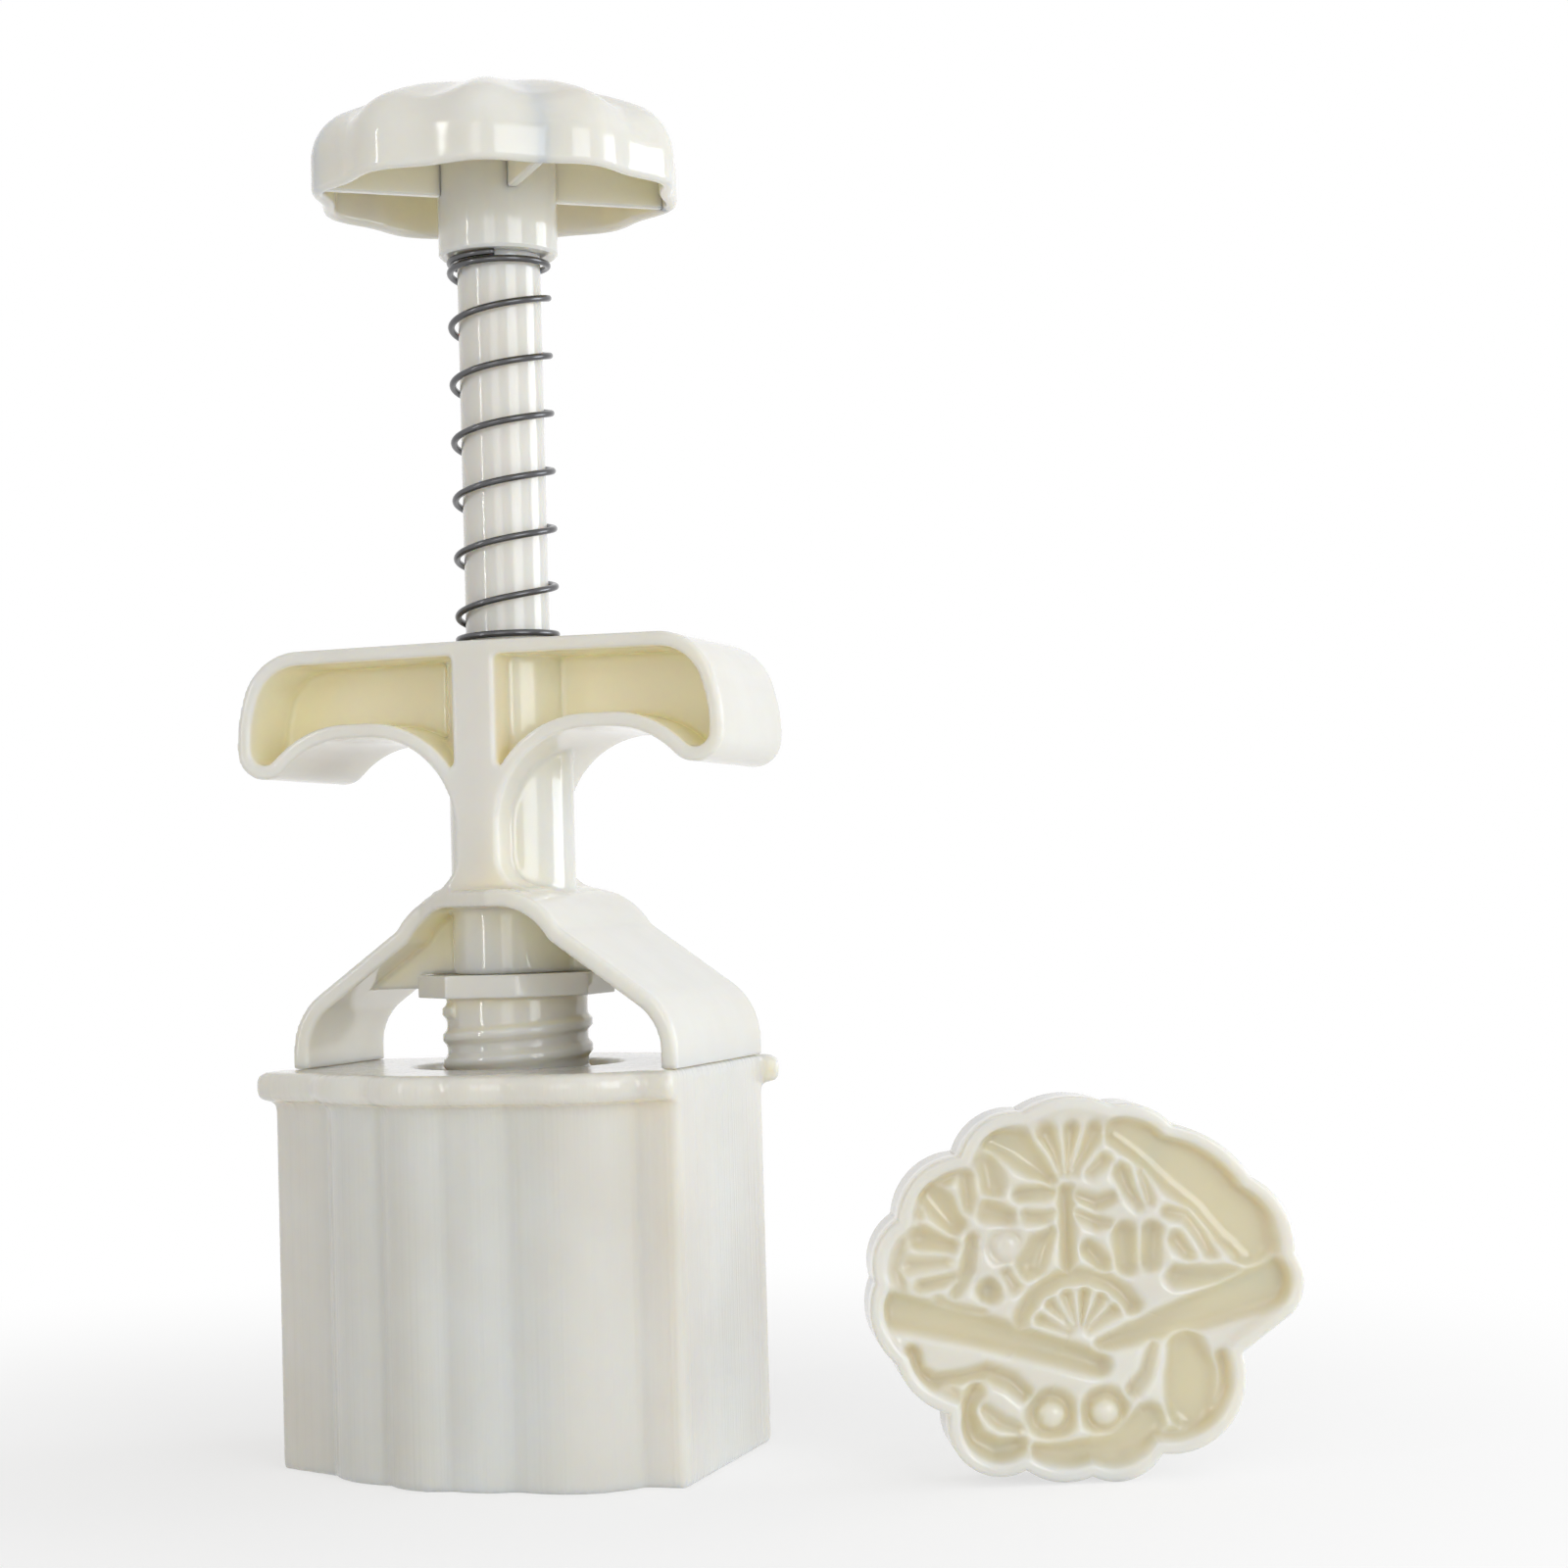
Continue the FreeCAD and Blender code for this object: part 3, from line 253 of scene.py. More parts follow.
# Ivory plastic: its clouds, the glow and shade painted into its recesses, and the shade painted
# into the stamp's hollows. Noise scales are per metre.
PLASTIC_DARK = (0.70, 0.675, 0.61)
PLASTIC_PALE = (0.77, 0.76, 0.715)
# Painted glow: a warm colour put into the recesses for light passing through the plastic.
PAINTED_RECESS_GLOW = (0.96, 0.87, 0.65)
# Painted shade: a darker, warmer colour put into the stamp's hollows and recesses.
PAINTED_HOLLOW_SHADE = (0.70, 0.645, 0.465)
PLASTIC_REACH = 13.0 * MM   # how far off a wall still makes a recess
STAMP_REACH = 3.0 * MM
RECESS_STOPS = (0.4, 0.9)   # open share at which a recess is full, and at which it ends
NOISE_STOPS = (0.3, 0.7)    # noise at which the first and the second colour are reached
CLOUD_SCALE = 38.0
GLOSS_SCALE = 160.0
SKIN_SCALE = 420.0
SKIN_HEIGHT = 0.02 * MM
GRAIN_SCALE = 800.0
GRAIN_STRETCH = 0.004       # upright scale of the grain, as a share of its scale across
GRAIN_HEIGHT = 0.2 * MM
# Levels in front of the stamp's lip at which the shade painted into its hollows starts and is
# full, and how far a face has to turn to the front for all of it.
HOLLOW_DEPTHS = (-0.1 * MM, -2.5 * MM)
HOLLOW_FACING = 0.3

# Steel.
# Painted reflection: the spring's colour is darkened below its steel's own to stand in for the
# dark surroundings it reflects.
SPRING_DARK_REFLECTION_TONE = (0.13, 0.13, 0.135)
SCREW_COLOUR = (0.46, 0.455, 0.44)
STREAK_SCALE = 300.0
STREAK_SHADE = 0.8
STEEL_GLOSS_SCALE = 900.0
STEEL_SKIN_SCALE = 1500.0
STEEL_SKIN_HEIGHT = 0.01 * MM

# Floor: white to the camera far from the press, its shadow shown more and more near it.
FLOOR_SIZE = 6.0
FLOOR_COLOUR = (0.95, 0.95, 0.95, 1.0)
SHADOW_NEAR = 0.03
SHADOW_FAR = 0.22
SHADOW_WHITE = 0.6          # white share at the press itself

# The world's light at its -X and +X ends, and white where it is seen directly.
FILL_LEFT = (0.21, 0.19, 0.15)
FILL_RIGHT = (0.83, 0.84, 0.87)
WHITE = (1.0, 1.0, 1.0)

# Lamps, in metres and watts: name, azimuth in degrees from the front towards +X, distance
# and height, width and length of the lamp, power, and colour.
LAMPS = [
    ("key_right", 56, 0.85, 0.16, 0.40, 0.50, 1.9, (0.93, 0.97, 1.0)),
    ("edge_right", 116, 0.85, 0.14, 0.40, 0.50, 2.7, (0.90, 0.95, 1.0)),
    ("strip_left", -38, 0.90, 0.22, 0.035, 0.60, 0.8, WHITE),
    ("front", 6, 1.10, 0.24, 0.40, 0.50, 1.0, WHITE),
    ("top", 30, 0.30, 0.95, 0.60, 0.60, 0.45, WHITE),
]
LAMP_AIM = (0.02, 0.0, 0.09)


def node_of(name):
    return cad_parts[name]


def link(obj):
    bpy.context.scene.collection.objects.link(obj)
    return obj


def mesh_object(name, vertices, faces):
    mesh = bpy.data.meshes.new(name)
    mesh.from_pydata([tuple(v) for v in vertices], [], [tuple(f) for f in faces])
    mesh.validate()
    obj = link(bpy.data.objects.new(name, mesh))
    bm = bmesh.new()
    bm.from_mesh(mesh)
    bmesh.ops.remove_doubles(bm, verts=bm.verts, dist=MERGE_DISTANCE)
    bmesh.ops.recalc_face_normals(bm, faces=bm.faces)
    bm.to_mesh(mesh)
    bm.free()
    mesh.shade_smooth()
    return obj


def ring_faces(rings, count):
    """Quads between neighbouring closed rings of the same number of points."""
    faces = []
    for ring in range(rings - 1):
        low = ring * count
        high = low + count
        for index in range(count):
            after = (index + 1) % count
            faces.append((low + index, low + after, high + after, high + index))
    return faces


# ---------------------------------------------------------------- materials


class Nodes:
    """Short ways to build the node tree of a material or of the world."""

    def __init__(self, owner, output="OutputMaterial"):
        owner.use_nodes = True
        self.tree = owner.node_tree
        self.tree.nodes.clear()
        self.output = self.add(output)

    def add(self, kind, **settings):
        node = self.tree.nodes.new("ShaderNode" + kind)
        for key, setting in settings.items():
            setattr(node, key, setting)
        return node

    def link(self, source, target):
        self.tree.links.new(source, target)

    def place(self):
        """A point's coordinates on its own object."""
        return self.add("TexCoord").outputs["Object"]

    def noise(self, scale, detail=3.0, place=None):
        noise = self.add("TexNoise")
        noise.inputs["Scale"].default_value = scale
        noise.inputs["Detail"].default_value = detail
        self.link(self.place() if place is None else place, noise.inputs["Vector"])
        return noise.outputs["Fac"]

    def ramp(self, factor, positions, colours):
        """Runs from the first colour at the first position to the second at the second."""
        ramp = self.add("ValToRGB")
        for element, position, colour in zip(ramp.color_ramp.elements, positions, colours):
            element.position = position
            element.color = (*colour, 1.0)
        self.link(factor, ramp.inputs["Fac"])
        return ramp.outputs["Color"]

    def span(self, factor, low, high, start=0.0, end=1.0, **settings):
        """Carries a value from the range start to end over to the range low to high."""
        spread = self.add("MapRange", **settings)
        spread.inputs["From Min"].default_value = start
        spread.inputs["From Max"].default_value = end
        spread.inputs["To Min"].default_value = low
        spread.inputs["To Max"].default_value = high
        self.link(factor, spread.inputs["Value"])
        return spread.outputs["Result"]

    def mix(self, factor, first, second):
        """Mixes two colours, each given as a socket or as three numbers."""
        mix = self.add("Mix", data_type="RGBA")
        for source, socket in ((factor, "Factor"), (first, "A"), (second, "B")):
            target = [s for s in mix.inputs if s.name == socket and s.enabled][0]
            if isinstance(source, tuple):
                target.default_value = (*source, 1.0)
            else:
                self.link(source, target)
        return [s for s in mix.outputs if s.enabled][0]

    def bump(self, height, distance, strength):
        bump = self.add("Bump")
        bump.inputs["Distance"].default_value = distance
        bump.inputs["Strength"].default_value = strength
        self.link(height, bump.inputs["Height"])
        return bump.outputs["Normal"]

    def combine(self, operation, first, second, **settings):
        node = self.add("Math", operation=operation, **settings)
        self.link(first, node.inputs[0])
        self.link(second, node.inputs[1])
        return node.outputs["Value"]

    def vector(self, operation, source, value, output="Vector"):
        """A vector operation on a socket and three numbers."""
        node = self.add("VectorMath", operation=operation)
        self.link(source, node.inputs[0])
        node.inputs[1].default_value = value
        return node.outputs[output]

    def show_mix(self, factor, first, second):
        """Shows a mix of two shaders."""
        mix = self.add("MixShader")
        self.link(factor, mix.inputs["Fac"])
        self.link(first, mix.inputs[1])
        self.link(second, mix.inputs[2])
        self.link(mix.outputs["Shader"], self.output.inputs["Surface"])


def ivory_plastic(name, reach, painted_recess_tone, hollow=None, grain=None):
    """Glossy milky plastic, clouded a little, with a painted tone in its recesses for glow and
    shade.
    """
    material = bpy.data.materials.new(name)
    n = Nodes(material)
    surface = n.add("BsdfPrincipled")
    clouds = n.noise(CLOUD_SCALE, 4.0)
    colour = n.ramp(clouds, NOISE_STOPS, (PLASTIC_DARK, PLASTIC_PALE))
    # Painted shade in the stamp's hollows, by depth and facing.
    if hollow:
        colour = n.mix(hollow(n), colour, PAINTED_HOLLOW_SHADE)
    # Painted light: where the object's own faces close round a point, the colour turns to the
    # painted recess tone.
    recess = n.add("AmbientOcclusion", samples=8, only_local=True)
    recess.inputs["Distance"].default_value = reach
    open_share = n.ramp(recess.outputs["AO"], RECESS_STOPS, ((0.0, 0.0, 0.0), WHITE))
    n.link(n.mix(open_share, painted_recess_tone, colour), surface.inputs["Base Color"])
    n.link(n.span(n.noise(GLOSS_SCALE), 0.07, 0.15), surface.inputs["Roughness"])
    relief = grain(n) if grain else n.bump(n.noise(SKIN_SCALE, 2.0), SKIN_HEIGHT, 0.5)
    n.link(relief, surface.inputs["Normal"])
    surface.inputs["IOR"].default_value = 1.49
    surface.inputs["Subsurface Weight"].default_value = 0.8
    surface.inputs["Subsurface Radius"].default_value = (1.0, 0.8, 0.5)
    surface.inputs["Subsurface Scale"].default_value = 5.0 * MM
    surface.inputs["Coat Weight"].default_value = 0.3
    surface.inputs["Coat Roughness"].default_value = 0.06
    n.link(surface.outputs["BSDF"], n.output.inputs["Surface"])
    return material


def upright_grain(n):
    """Fine upright lines left on the barrel by its mould."""
    stretched = n.vector("MULTIPLY", n.place(), (1.0, 1.0, GRAIN_STRETCH))
    return n.bump(n.noise(GRAIN_SCALE, 2.0, stretched), GRAIN_HEIGHT, 0.8)


def stamp_painted_shade(n):
    """Painted shade on the stamp's face by how deep a point lies: 0 at its lip, 1 in its hollows
    on faces turned to the front.
    """
    front = (math.sin(STAMP_TURN), -math.cos(STAMP_TURN), 0.0)
    moved = n.vector("SUBTRACT", n.place(), (STAMP_PLACE_X, STAMP_PLACE_Y, 0.0))
    along = n.vector("DOT_PRODUCT", moved, front, "Value")
    deep = n.span(along, 0.0, 1.0, *HOLLOW_DEPTHS, interpolation_type="SMOOTHSTEP")
    normal = n.add("NewGeometry").outputs["Normal"]
    facing = n.vector("DOT_PRODUCT", normal, front, "Value")
    return n.combine("MULTIPLY", deep, n.span(facing, 0.0, 1.0, 0.0, HOLLOW_FACING))


def steel(name, colour, low, high):
    """Drawn steel: bright, with faint streaks in its colour and gloss."""
    material = bpy.data.materials.new(name)
    n = Nodes(material)
    surface = n.add("BsdfPrincipled")
    surface.inputs["Metallic"].default_value = 1.0
    dark = tuple(STREAK_SHADE * c for c in colour)
    streaks = n.ramp(n.noise(STREAK_SCALE, 5.0), NOISE_STOPS, (dark, colour))
    n.link(streaks, surface.inputs["Base Color"])
    n.link(n.span(n.noise(STEEL_GLOSS_SCALE), low, high), surface.inputs["Roughness"])
    relief = n.bump(n.noise(STEEL_SKIN_SCALE), STEEL_SKIN_HEIGHT, 0.4)
    n.link(relief, surface.inputs["Normal"])
    n.link(surface.outputs["BSDF"], n.output.inputs["Surface"])
    return material


IVORY = ivory_plastic("ivory_plastic", PLASTIC_REACH, PAINTED_RECESS_GLOW)
BARREL_IVORY = ivory_plastic("barrel_plastic", PLASTIC_REACH, PAINTED_RECESS_GLOW,
                             grain=upright_grain)
STAMP_IVORY = ivory_plastic("stamp_plastic", STAMP_REACH, PAINTED_HOLLOW_SHADE,
                            hollow=stamp_painted_shade)
SPRING_STEEL = steel("spring_steel", SPRING_DARK_REFLECTION_TONE, 0.16, 0.28)
SCREW_STEEL = steel("screw_steel", SCREW_COLOUR, 0.25, 0.42)


def dress(obj, material):
    obj.data.materials.clear()
    obj.data.materials.append(material)


def soften(obj, cell, passes):
    """Rounds every edge of an object the way polished plastic is rounded."""
    weld = obj.modifiers.new("JoinedFaces", "WELD")
    weld.merge_threshold = WELD_DISTANCE
    grid = obj.modifiers.new("EvenGrid", "REMESH")
    grid.mode = "VOXEL"
    grid.voxel_size = cell
    grid.use_smooth_shade = True
    polish = obj.modifiers.new("SoftEdges", "SMOOTH")
    polish.factor = SMOOTHING_FACTOR
    polish.iterations = passes


# ------------------------------------------------------------- CAD pieces


def dress_nodes():
    dress(node_of("mould_barrel"), BARREL_IVORY)
    for name in ("handle_yoke", "plunger_rod", "knob", "knob_cap", "stamp_holder"):
        dress(node_of(name), IVORY)
    for name in ("knob_screw", "holder_screw", "holder_washer"):
        dress(node_of(name), SCREW_STEEL)
    for name, cell, passes in EDGE_ROUNDING:
        soften(node_of(name), cell, passes)


# ------------------------------------------------------------------- knob


def knob_heights():
    """Foot of the hub, rim and crown of the knob, in millimetres."""
    low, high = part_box("knob")
    foot = low[2] / MM
    return foot, foot + KNOB_RIM, high[2] / MM


def knob_skin(offset, end):
    """Section of the shell from its rim to a radius near the crown.

    Each point has its radius and height, and its outward normal across and up.
    """
    _, rim, crown = knob_heights()
    heart = crown - math.sqrt(KNOB_DOME ** 2 - KNOB_CAP ** 2)
    reach = KNOB_RADIUS - KNOB_CORNER
    bend = heart + math.sqrt((KNOB_DOME - KNOB_CORNER) ** 2 - reach ** 2)
    slope = math.atan2(bend - heart, reach)
    corner = KNOB_CORNER - offset
    dome = KNOB_DOME - offset
    side = np.linspace(rim + KNOB_WALL / 2, bend, KNOB_SIDE_POINTS)[:-1]
    points = [(KNOB_RADIUS - offset, z, 1.0, 0.0) for z in side]
    for turn in np.linspace(0.0, slope, KNOB_CORNER_POINTS)[:-1]:
        across, up = math.cos(turn), math.sin(turn)
        points.append((reach + corner * across, bend + corner * up, across, up))
    for turn in np.linspace(slope, math.acos(end / dome), KNOB_DOME_POINTS):
        across, up = math.cos(turn), math.sin(turn)
        points.append((dome * across, heart + dome * up, across, up))
    return points


def knob_section():
    """The knob's closed section, with the direction in which its flutes cut in."""
    foot, rim, crown = knob_heights()
    lip = KNOB_WALL / 2
    section = knob_skin(0.0, KNOB_CAP)
    rod_end = foot + KNOB_ROD_END
    well_foot = crown - KNOB_WELL_DEPTH
    plain = [
        (KNOB_CAP, crown - KNOB_CAP_DEPTH),
        (KNOB_WELL, crown - KNOB_CAP_DEPTH),
        (KNOB_WELL, well_foot),
        (KNOB_SCREW_HOLE, well_foot),
        (KNOB_SCREW_HOLE, rod_end),
        (KNOB_BORE, rod_end),
        (KNOB_BORE, foot),
        (KNOB_HUB - KNOB_EDGE, foot),
        (KNOB_HUB, foot + KNOB_EDGE),
        (KNOB_HUB, rim),
    ]
    section += [(radius, z, 0.0, 0.0) for radius, z in plain]
    section += knob_skin(KNOB_WALL, KNOB_HUB)[::-1]
    for turn in np.linspace(math.pi, 2 * math.pi, KNOB_LIP_POINTS)[1:-1]:
        radius = KNOB_RADIUS - lip + lip * math.cos(turn)
        section.append((radius, rim + lip + lip * math.sin(turn), 1.0, 0.0))
    return np.array(section)


def flute(angle, radius):
    """How far the flutes cut in: fully at the side, and less and less towards the crown."""
    share = np.clip((radius - KNOB_FLUTE_END) / (KNOB_FLUTE_FULL - KNOB_FLUTE_END), 0.0, 1.0)
    full = KNOB_FLUTE * share * share * (3 - 2 * share)
    return full * (1 - np.cos(KNOB_LOBES * angle)) / 2


def directions(angle):
    """Unit vectors outwards and sideways at an angle round the vertical axis."""
    way = np.array([math.cos(angle), math.sin(angle), 0.0])
    return way, np.array([-way[1], way[0], 0.0])


def closed_bar(rings, base):
    """Faces of a closed bar of rings of points, whose first point is number base."""
    count = len(rings[0])
    faces = [tuple(base + i for i in face) for face in ring_faces(len(rings), count)]
    last = base + (len(rings) - 1) * count
    return faces + [tuple(range(base, base + count)), tuple(range(last, last + count))]


def knob_ribs():
    """Ribs between the hub and the shell, each a closed piece let into both."""
    _, rim, _ = knob_heights()
    vertices = []
    faces = []
    for index in range(KNOB_RIBS):
        angle = KNOB_RIB_TURN + 2 * math.pi * index / KNOB_RIBS
        roof = []
        for radius, z, across, up in knob_skin(KNOB_WALL / 2, KNOB_HUB):
            cut = flute(angle, radius)
            roof.append((radius - across * cut, z - up * cut))
        roof.append((KNOB_HUB - KNOB_WALL / 2, roof[-1][1]))
        way, aside = directions(angle)
        rings = []
        for share, lift in KNOB_RIB_SECTION:
            level = rim + KNOB_RIB_FOOT + lift
            edge = roof + [(roof[-1][0], level), (roof[0][0], level)]
            rings.append([radius * way + share * KNOB_RIB * aside + np.array([0.0, 0.0, z])
                          for radius, z in edge])
        faces += closed_bar(rings, len(vertices))
        vertices += [vertex for ring in rings for vertex in ring]
    return np.array(vertices), faces


def fluted_knob():
    section = knob_section()
    angle = 2 * math.pi * np.arange(KNOB_COUNT) / KNOB_COUNT
    rings = []
    for radius, z, across, up in np.vstack([section, section[:1]]):
        cut = flute(angle, radius) * (across > 0.0)
        out = radius - across * cut
        rings.append(np.column_stack([out * np.cos(angle), out * np.sin(angle), z - up * cut]))
    vertices = np.vstack(rings)
    faces = ring_faces(len(rings), KNOB_COUNT)
    rib_vertices, rib_faces = knob_ribs()
    faces += [tuple(i + len(vertices) for i in face) for face in rib_faces]
    knob = mesh_object("fluted_knob", np.vstack([vertices, rib_vertices]) * MM, faces)
    knob.data.set_sharp_from_angle(angle=KNOB_SHARP)
    dress(knob, IVORY)
    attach(knob, "plunger")
    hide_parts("knob")


# ----------------------------------------------------------------- spring


def spring_points():
    """Middle line of the spring, close at both ends and open between."""
    low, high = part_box("return_spring")
    height = high[2] - low[2]
    count = int(SPRING_TURNS * SPRING_STEPS)
    turn = (np.arange(count) + 0.5) / SPRING_STEPS
    from_end = np.minimum(turn, SPRING_TURNS - turn)
    slope = np.clip((from_end - SPRING_CLOSED_TURNS) / SPRING_EASE_TURNS, 0.0, 1.0)
    closed = SPRING_CLOSED_PITCH * SPRING_WIRE
    spare = height - 2 * SPRING_WIRE - closed * SPRING_TURNS
    rise = closed * SPRING_TURNS / count + spare * slope / slope.sum()
    z = low[2] + SPRING_WIRE + np.concatenate([[0.0], np.cumsum(rise)])
    angle = 2 * math.pi * SPRING_TURNS * np.arange(count + 1) / count
    return np.stack([SPRING_RADIUS * np.cos(angle), SPRING_RADIUS * np.sin(angle), z], axis=1)


def tube(name, path, radius, sides):
    """A round wire along a path, with flat ends."""
    along = np.gradient(path, axis=0)
    along /= np.linalg.norm(along, axis=1)[:, None]
    side = np.cross(along, np.array([0.0, 0.0, 1.0]))
    side /= np.linalg.norm(side, axis=1)[:, None]
    up = np.cross(side, along)
    angle = (2 * math.pi * np.arange(sides) / sides)[None, :, None]
    ring = np.cos(angle) * side[:, None, :] + np.sin(angle) * up[:, None, :]
    rings = path[:, None, :] + radius * ring
    return mesh_object(name, rings.reshape(-1, 3), closed_bar(rings, 0))


def coil_spring():
    spring = tube("coil_spring", spring_points(), SPRING_WIRE, SPRING_SIDES)
    dress(spring, SPRING_STEEL)
    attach(spring, "spring")
    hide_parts("return_spring")
    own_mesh(spring)


# ------------------------------------------------------------------ stamp


def arc_points(start, peak, end, count):
    """Points from start to just before end on the circle through the peak."""
    ax, ay = start
    bx, by = peak
    cx, cy = end
    double = 2 * (ax * (by - cy) + bx * (cy - ay) + cx * (ay - by))
    a2, b2, c2 = ax * ax + ay * ay, bx * bx + by * by, cx * cx + cy * cy
    mx = (a2 * (by - cy) + b2 * (cy - ay) + c2 * (ay - by)) / double
    my = (a2 * (cx - bx) + b2 * (ax - cx) + c2 * (bx - ax)) / double
    radius = math.hypot(ax - mx, ay - my)
    first = math.atan2(ay - my, ax - mx)
    last = math.atan2(cy - my, cx - mx)
    through = math.atan2(by - my, bx - mx)
    sweep = (last - first) % (2 * math.pi)
    if (through - first) % (2 * math.pi) > sweep:
        sweep -= 2 * math.pi
    return [(mx + radius * math.cos(first + sweep * k / count),
             my + radius * math.sin(first + sweep * k / count)) for k in range(count)]


def fan_outline():
    """The fan as a dense closed polygon in millimetres, at its real width."""
    points = []
    here = FAN_START
    for peak, end in FAN_STEPS:
        if peak is None:
            line = np.linspace(here, end, FAN_ARC_POINTS, endpoint=False)
            points.extend(tuple(p) for p in line)
        else:
            points.extend(arc_points(here, peak, end, FAN_ARC_POINTS))
        here = end
    polygon = np.array(points)
    width = polygon[:, 0].max() - polygon[:, 0].min()
    return polygon * (FAN_WIDTH / MM / width)


def radius_by_angle(polygon, angles):
    """How far the outline lies from the middle along each direction."""
    around = np.unwrap(np.arctan2(polygon[:, 1], polygon[:, 0]))
    reach = np.hypot(polygon[:, 0], polygon[:, 1])
    order = np.argsort(around % (2 * math.pi))
    return np.interp(angles, (around % (2 * math.pi))[order], reach[order], period=2 * math.pi)


def distance_to(points, polygon):
    """Distance from each point to the closed outline."""
    run = np.roll(polygon, -1, axis=0) - polygon
    length2 = (run ** 2).sum(axis=1)
    best = np.full(len(points), np.inf)
    for origin, step, square in zip(polygon, run, length2):
        away = points - origin
        share = np.clip((away @ step) / square, 0.0, 1.0)
        best = np.minimum(best, np.hypot(*(away - share[:, None] * step).T))
    return best


def distance_from(points, middle):
    """Distance from each point to a middle point."""
    return np.hypot(points[:, 0] - middle[0], points[:, 1] - middle[1])


def chain_depth(points, chain):
    """How far inside a chain of round dips each point lies; negative outside."""
    inside = chain[0][2] - distance_from(points, chain[0])
    for start, end in zip(chain[:-1], chain[1:]):
        origin = np.array(start[:2])
        step = np.array(end[:2]) - origin
        share = np.clip(((points - origin) @ step) / (step @ step), 0.0, 1.0)
        radius = start[2] + share * (end[2] - start[2])
        away = np.hypot(*(points - origin - share[:, None] * step).T)
        inside = np.maximum(inside, radius - away)
    return inside


def dip(inside, depth):
    """A smooth hollow with a rounded edge and a dished floor."""
    reach = np.clip(inside + HOLLOW_SKIRT, 0.0, None)
    return -depth * (1.0 - np.exp(-(reach / HOLLOW_EDGE) ** 2))


def little_fan_chains():
    """The little fan's hollows: its band, then its rays."""

    def dip_at(angle, reach, radius):
        turn = math.radians(angle)
        return (LITTLE_FAN[0] + reach * math.cos(turn),
                LITTLE_FAN[1] + reach * math.sin(turn), radius)

    chains = [[dip_at(angle, LITTLE_BAND_RADIUS, LITTLE_BAND_HALF)
               for angle in LITTLE_BAND_ANGLES]]
    for angle in LITTLE_RAY_ANGLES:
        chains.append([dip_at(angle, LITTLE_RAY_START, LITTLE_RAY_RADII[0]),
                       dip_at(angle, LITTLE_RAY_END, LITTLE_RAY_RADII[1])])
    return chains


def relief_height(points, from_edge):
    """Height of the stamp's face, from 0 at its lip downwards, in millimetres."""
    little_fan = [(LITTLE_DEPTH, chain) for chain in little_fan_chains()]
    floor = np.zeros(len(points))
    for depth, chain in HOLLOWS + little_fan:
        floor = np.minimum(floor, dip(chain_depth(points, chain), depth))
    for middle, outer, inner in BEADS:
        away = distance_from(points, middle)
        pit = dip(outer - away, BEAD_DEPTH)
        dome = -BEAD_DEPTH + BEAD_RISE * np.sqrt(np.clip(1 - (away / inner) ** 2, 0.0, None))
        floor = np.minimum(floor, np.where(away < inner, np.maximum(pit, dome), pit))
    middle, radius, half, depth = PETAL
    groove = half - np.abs(distance_from(points, middle) - radius)
    floor = np.minimum(floor, dip(groove, depth)) - LAND
    lip = np.clip((from_edge - LIP_WIDTH) / LIP_SLOPE, 0.0, 1.0)
    curl = np.clip(LIP_ROUND - from_edge, 0.0, LIP_ROUND)
    return floor * (lip * lip * (3 - 2 * lip)) - (LIP_ROUND - np.sqrt(LIP_ROUND ** 2 - curl ** 2))


def smoothed(heights):
    """Rounds the ridges of the relief a little; the lip's outermost rings stay as they are."""
    inner = RELIEF_RINGS - 1
    for _ in range(RELIEF_SMOOTHING):
        around = (np.roll(heights, 1, axis=1) + np.roll(heights, -1, axis=1)) / 2
        across = heights.copy()
        across[1:inner] = (heights[:inner - 1] + heights[2:inner + 1]) / 2
        heights[:inner] = (2 * heights + around + across)[:inner] / 4
    return heights


def face_rings(polygon, way, reach):
    """Rings of the stamp's face, from its middle out to its edge."""
    even = np.linspace(RELIEF_FIRST, RELIEF_LAST, RELIEF_RINGS)
    flats = []
    heights = []
    for share in np.concatenate([even, 1.0 - np.array(RELIEF_EDGE_GAPS)]):
        flat = way * (reach * share)[:, None]
        from_edge = distance_to(flat, polygon)
        if share == 1.0:
            from_edge[:] = 0.0
        flats.append(flat)
        heights.append(relief_height(flat, from_edge))
    return [np.column_stack([flat, height])
            for flat, height in zip(flats, smoothed(np.array(heights)))]


def back_rings(outer, way):
    """Rings of the stamp's back: down the skirt, in to the socket's wall, and into it."""
    socket = STAMP_SOCKET_RADIUS
    boss = socket + STAMP_SOCKET_WALL
    deep = STAMP_BACK + STAMP_SOCKET_DEPTH
    inward = inner_outline(outer, STAMP_SKIRT_WALL)
    levels = [(outer, STAMP_SKIRT_DEPTH - STAMP_EDGE)]
    for share in STAMP_SKIRT_EDGES:
        levels.append((outer + (inward - outer) * share, STAMP_SKIRT_DEPTH))
    levels.append((inward, STAMP_SKIRT_DEPTH - STAMP_EDGE))
    levels.append((inward, STAMP_BACK + STAMP_EDGE))
    for share in STAMP_BACK_SHARES:
        levels.append((inward + (way * boss - inward) * share, STAMP_BACK))
    levels += [
        (way * boss, STAMP_BACK + STAMP_EDGE),
        (way * boss, deep - STAMP_EDGE),
        (way * (boss - STAMP_EDGE), deep),
        (way * (socket + STAMP_EDGE), deep),
        (way * socket, deep - STAMP_EDGE),
        (way * socket, STAMP_BACK + STAMP_EDGE),
        (way * (socket - STAMP_EDGE), STAMP_BACK),
        (way * STAMP_SOCKET_MIDDLE, STAMP_BACK),
    ]
    return [np.column_stack([flat, np.full(len(flat), -depth)]) for flat, depth in levels]


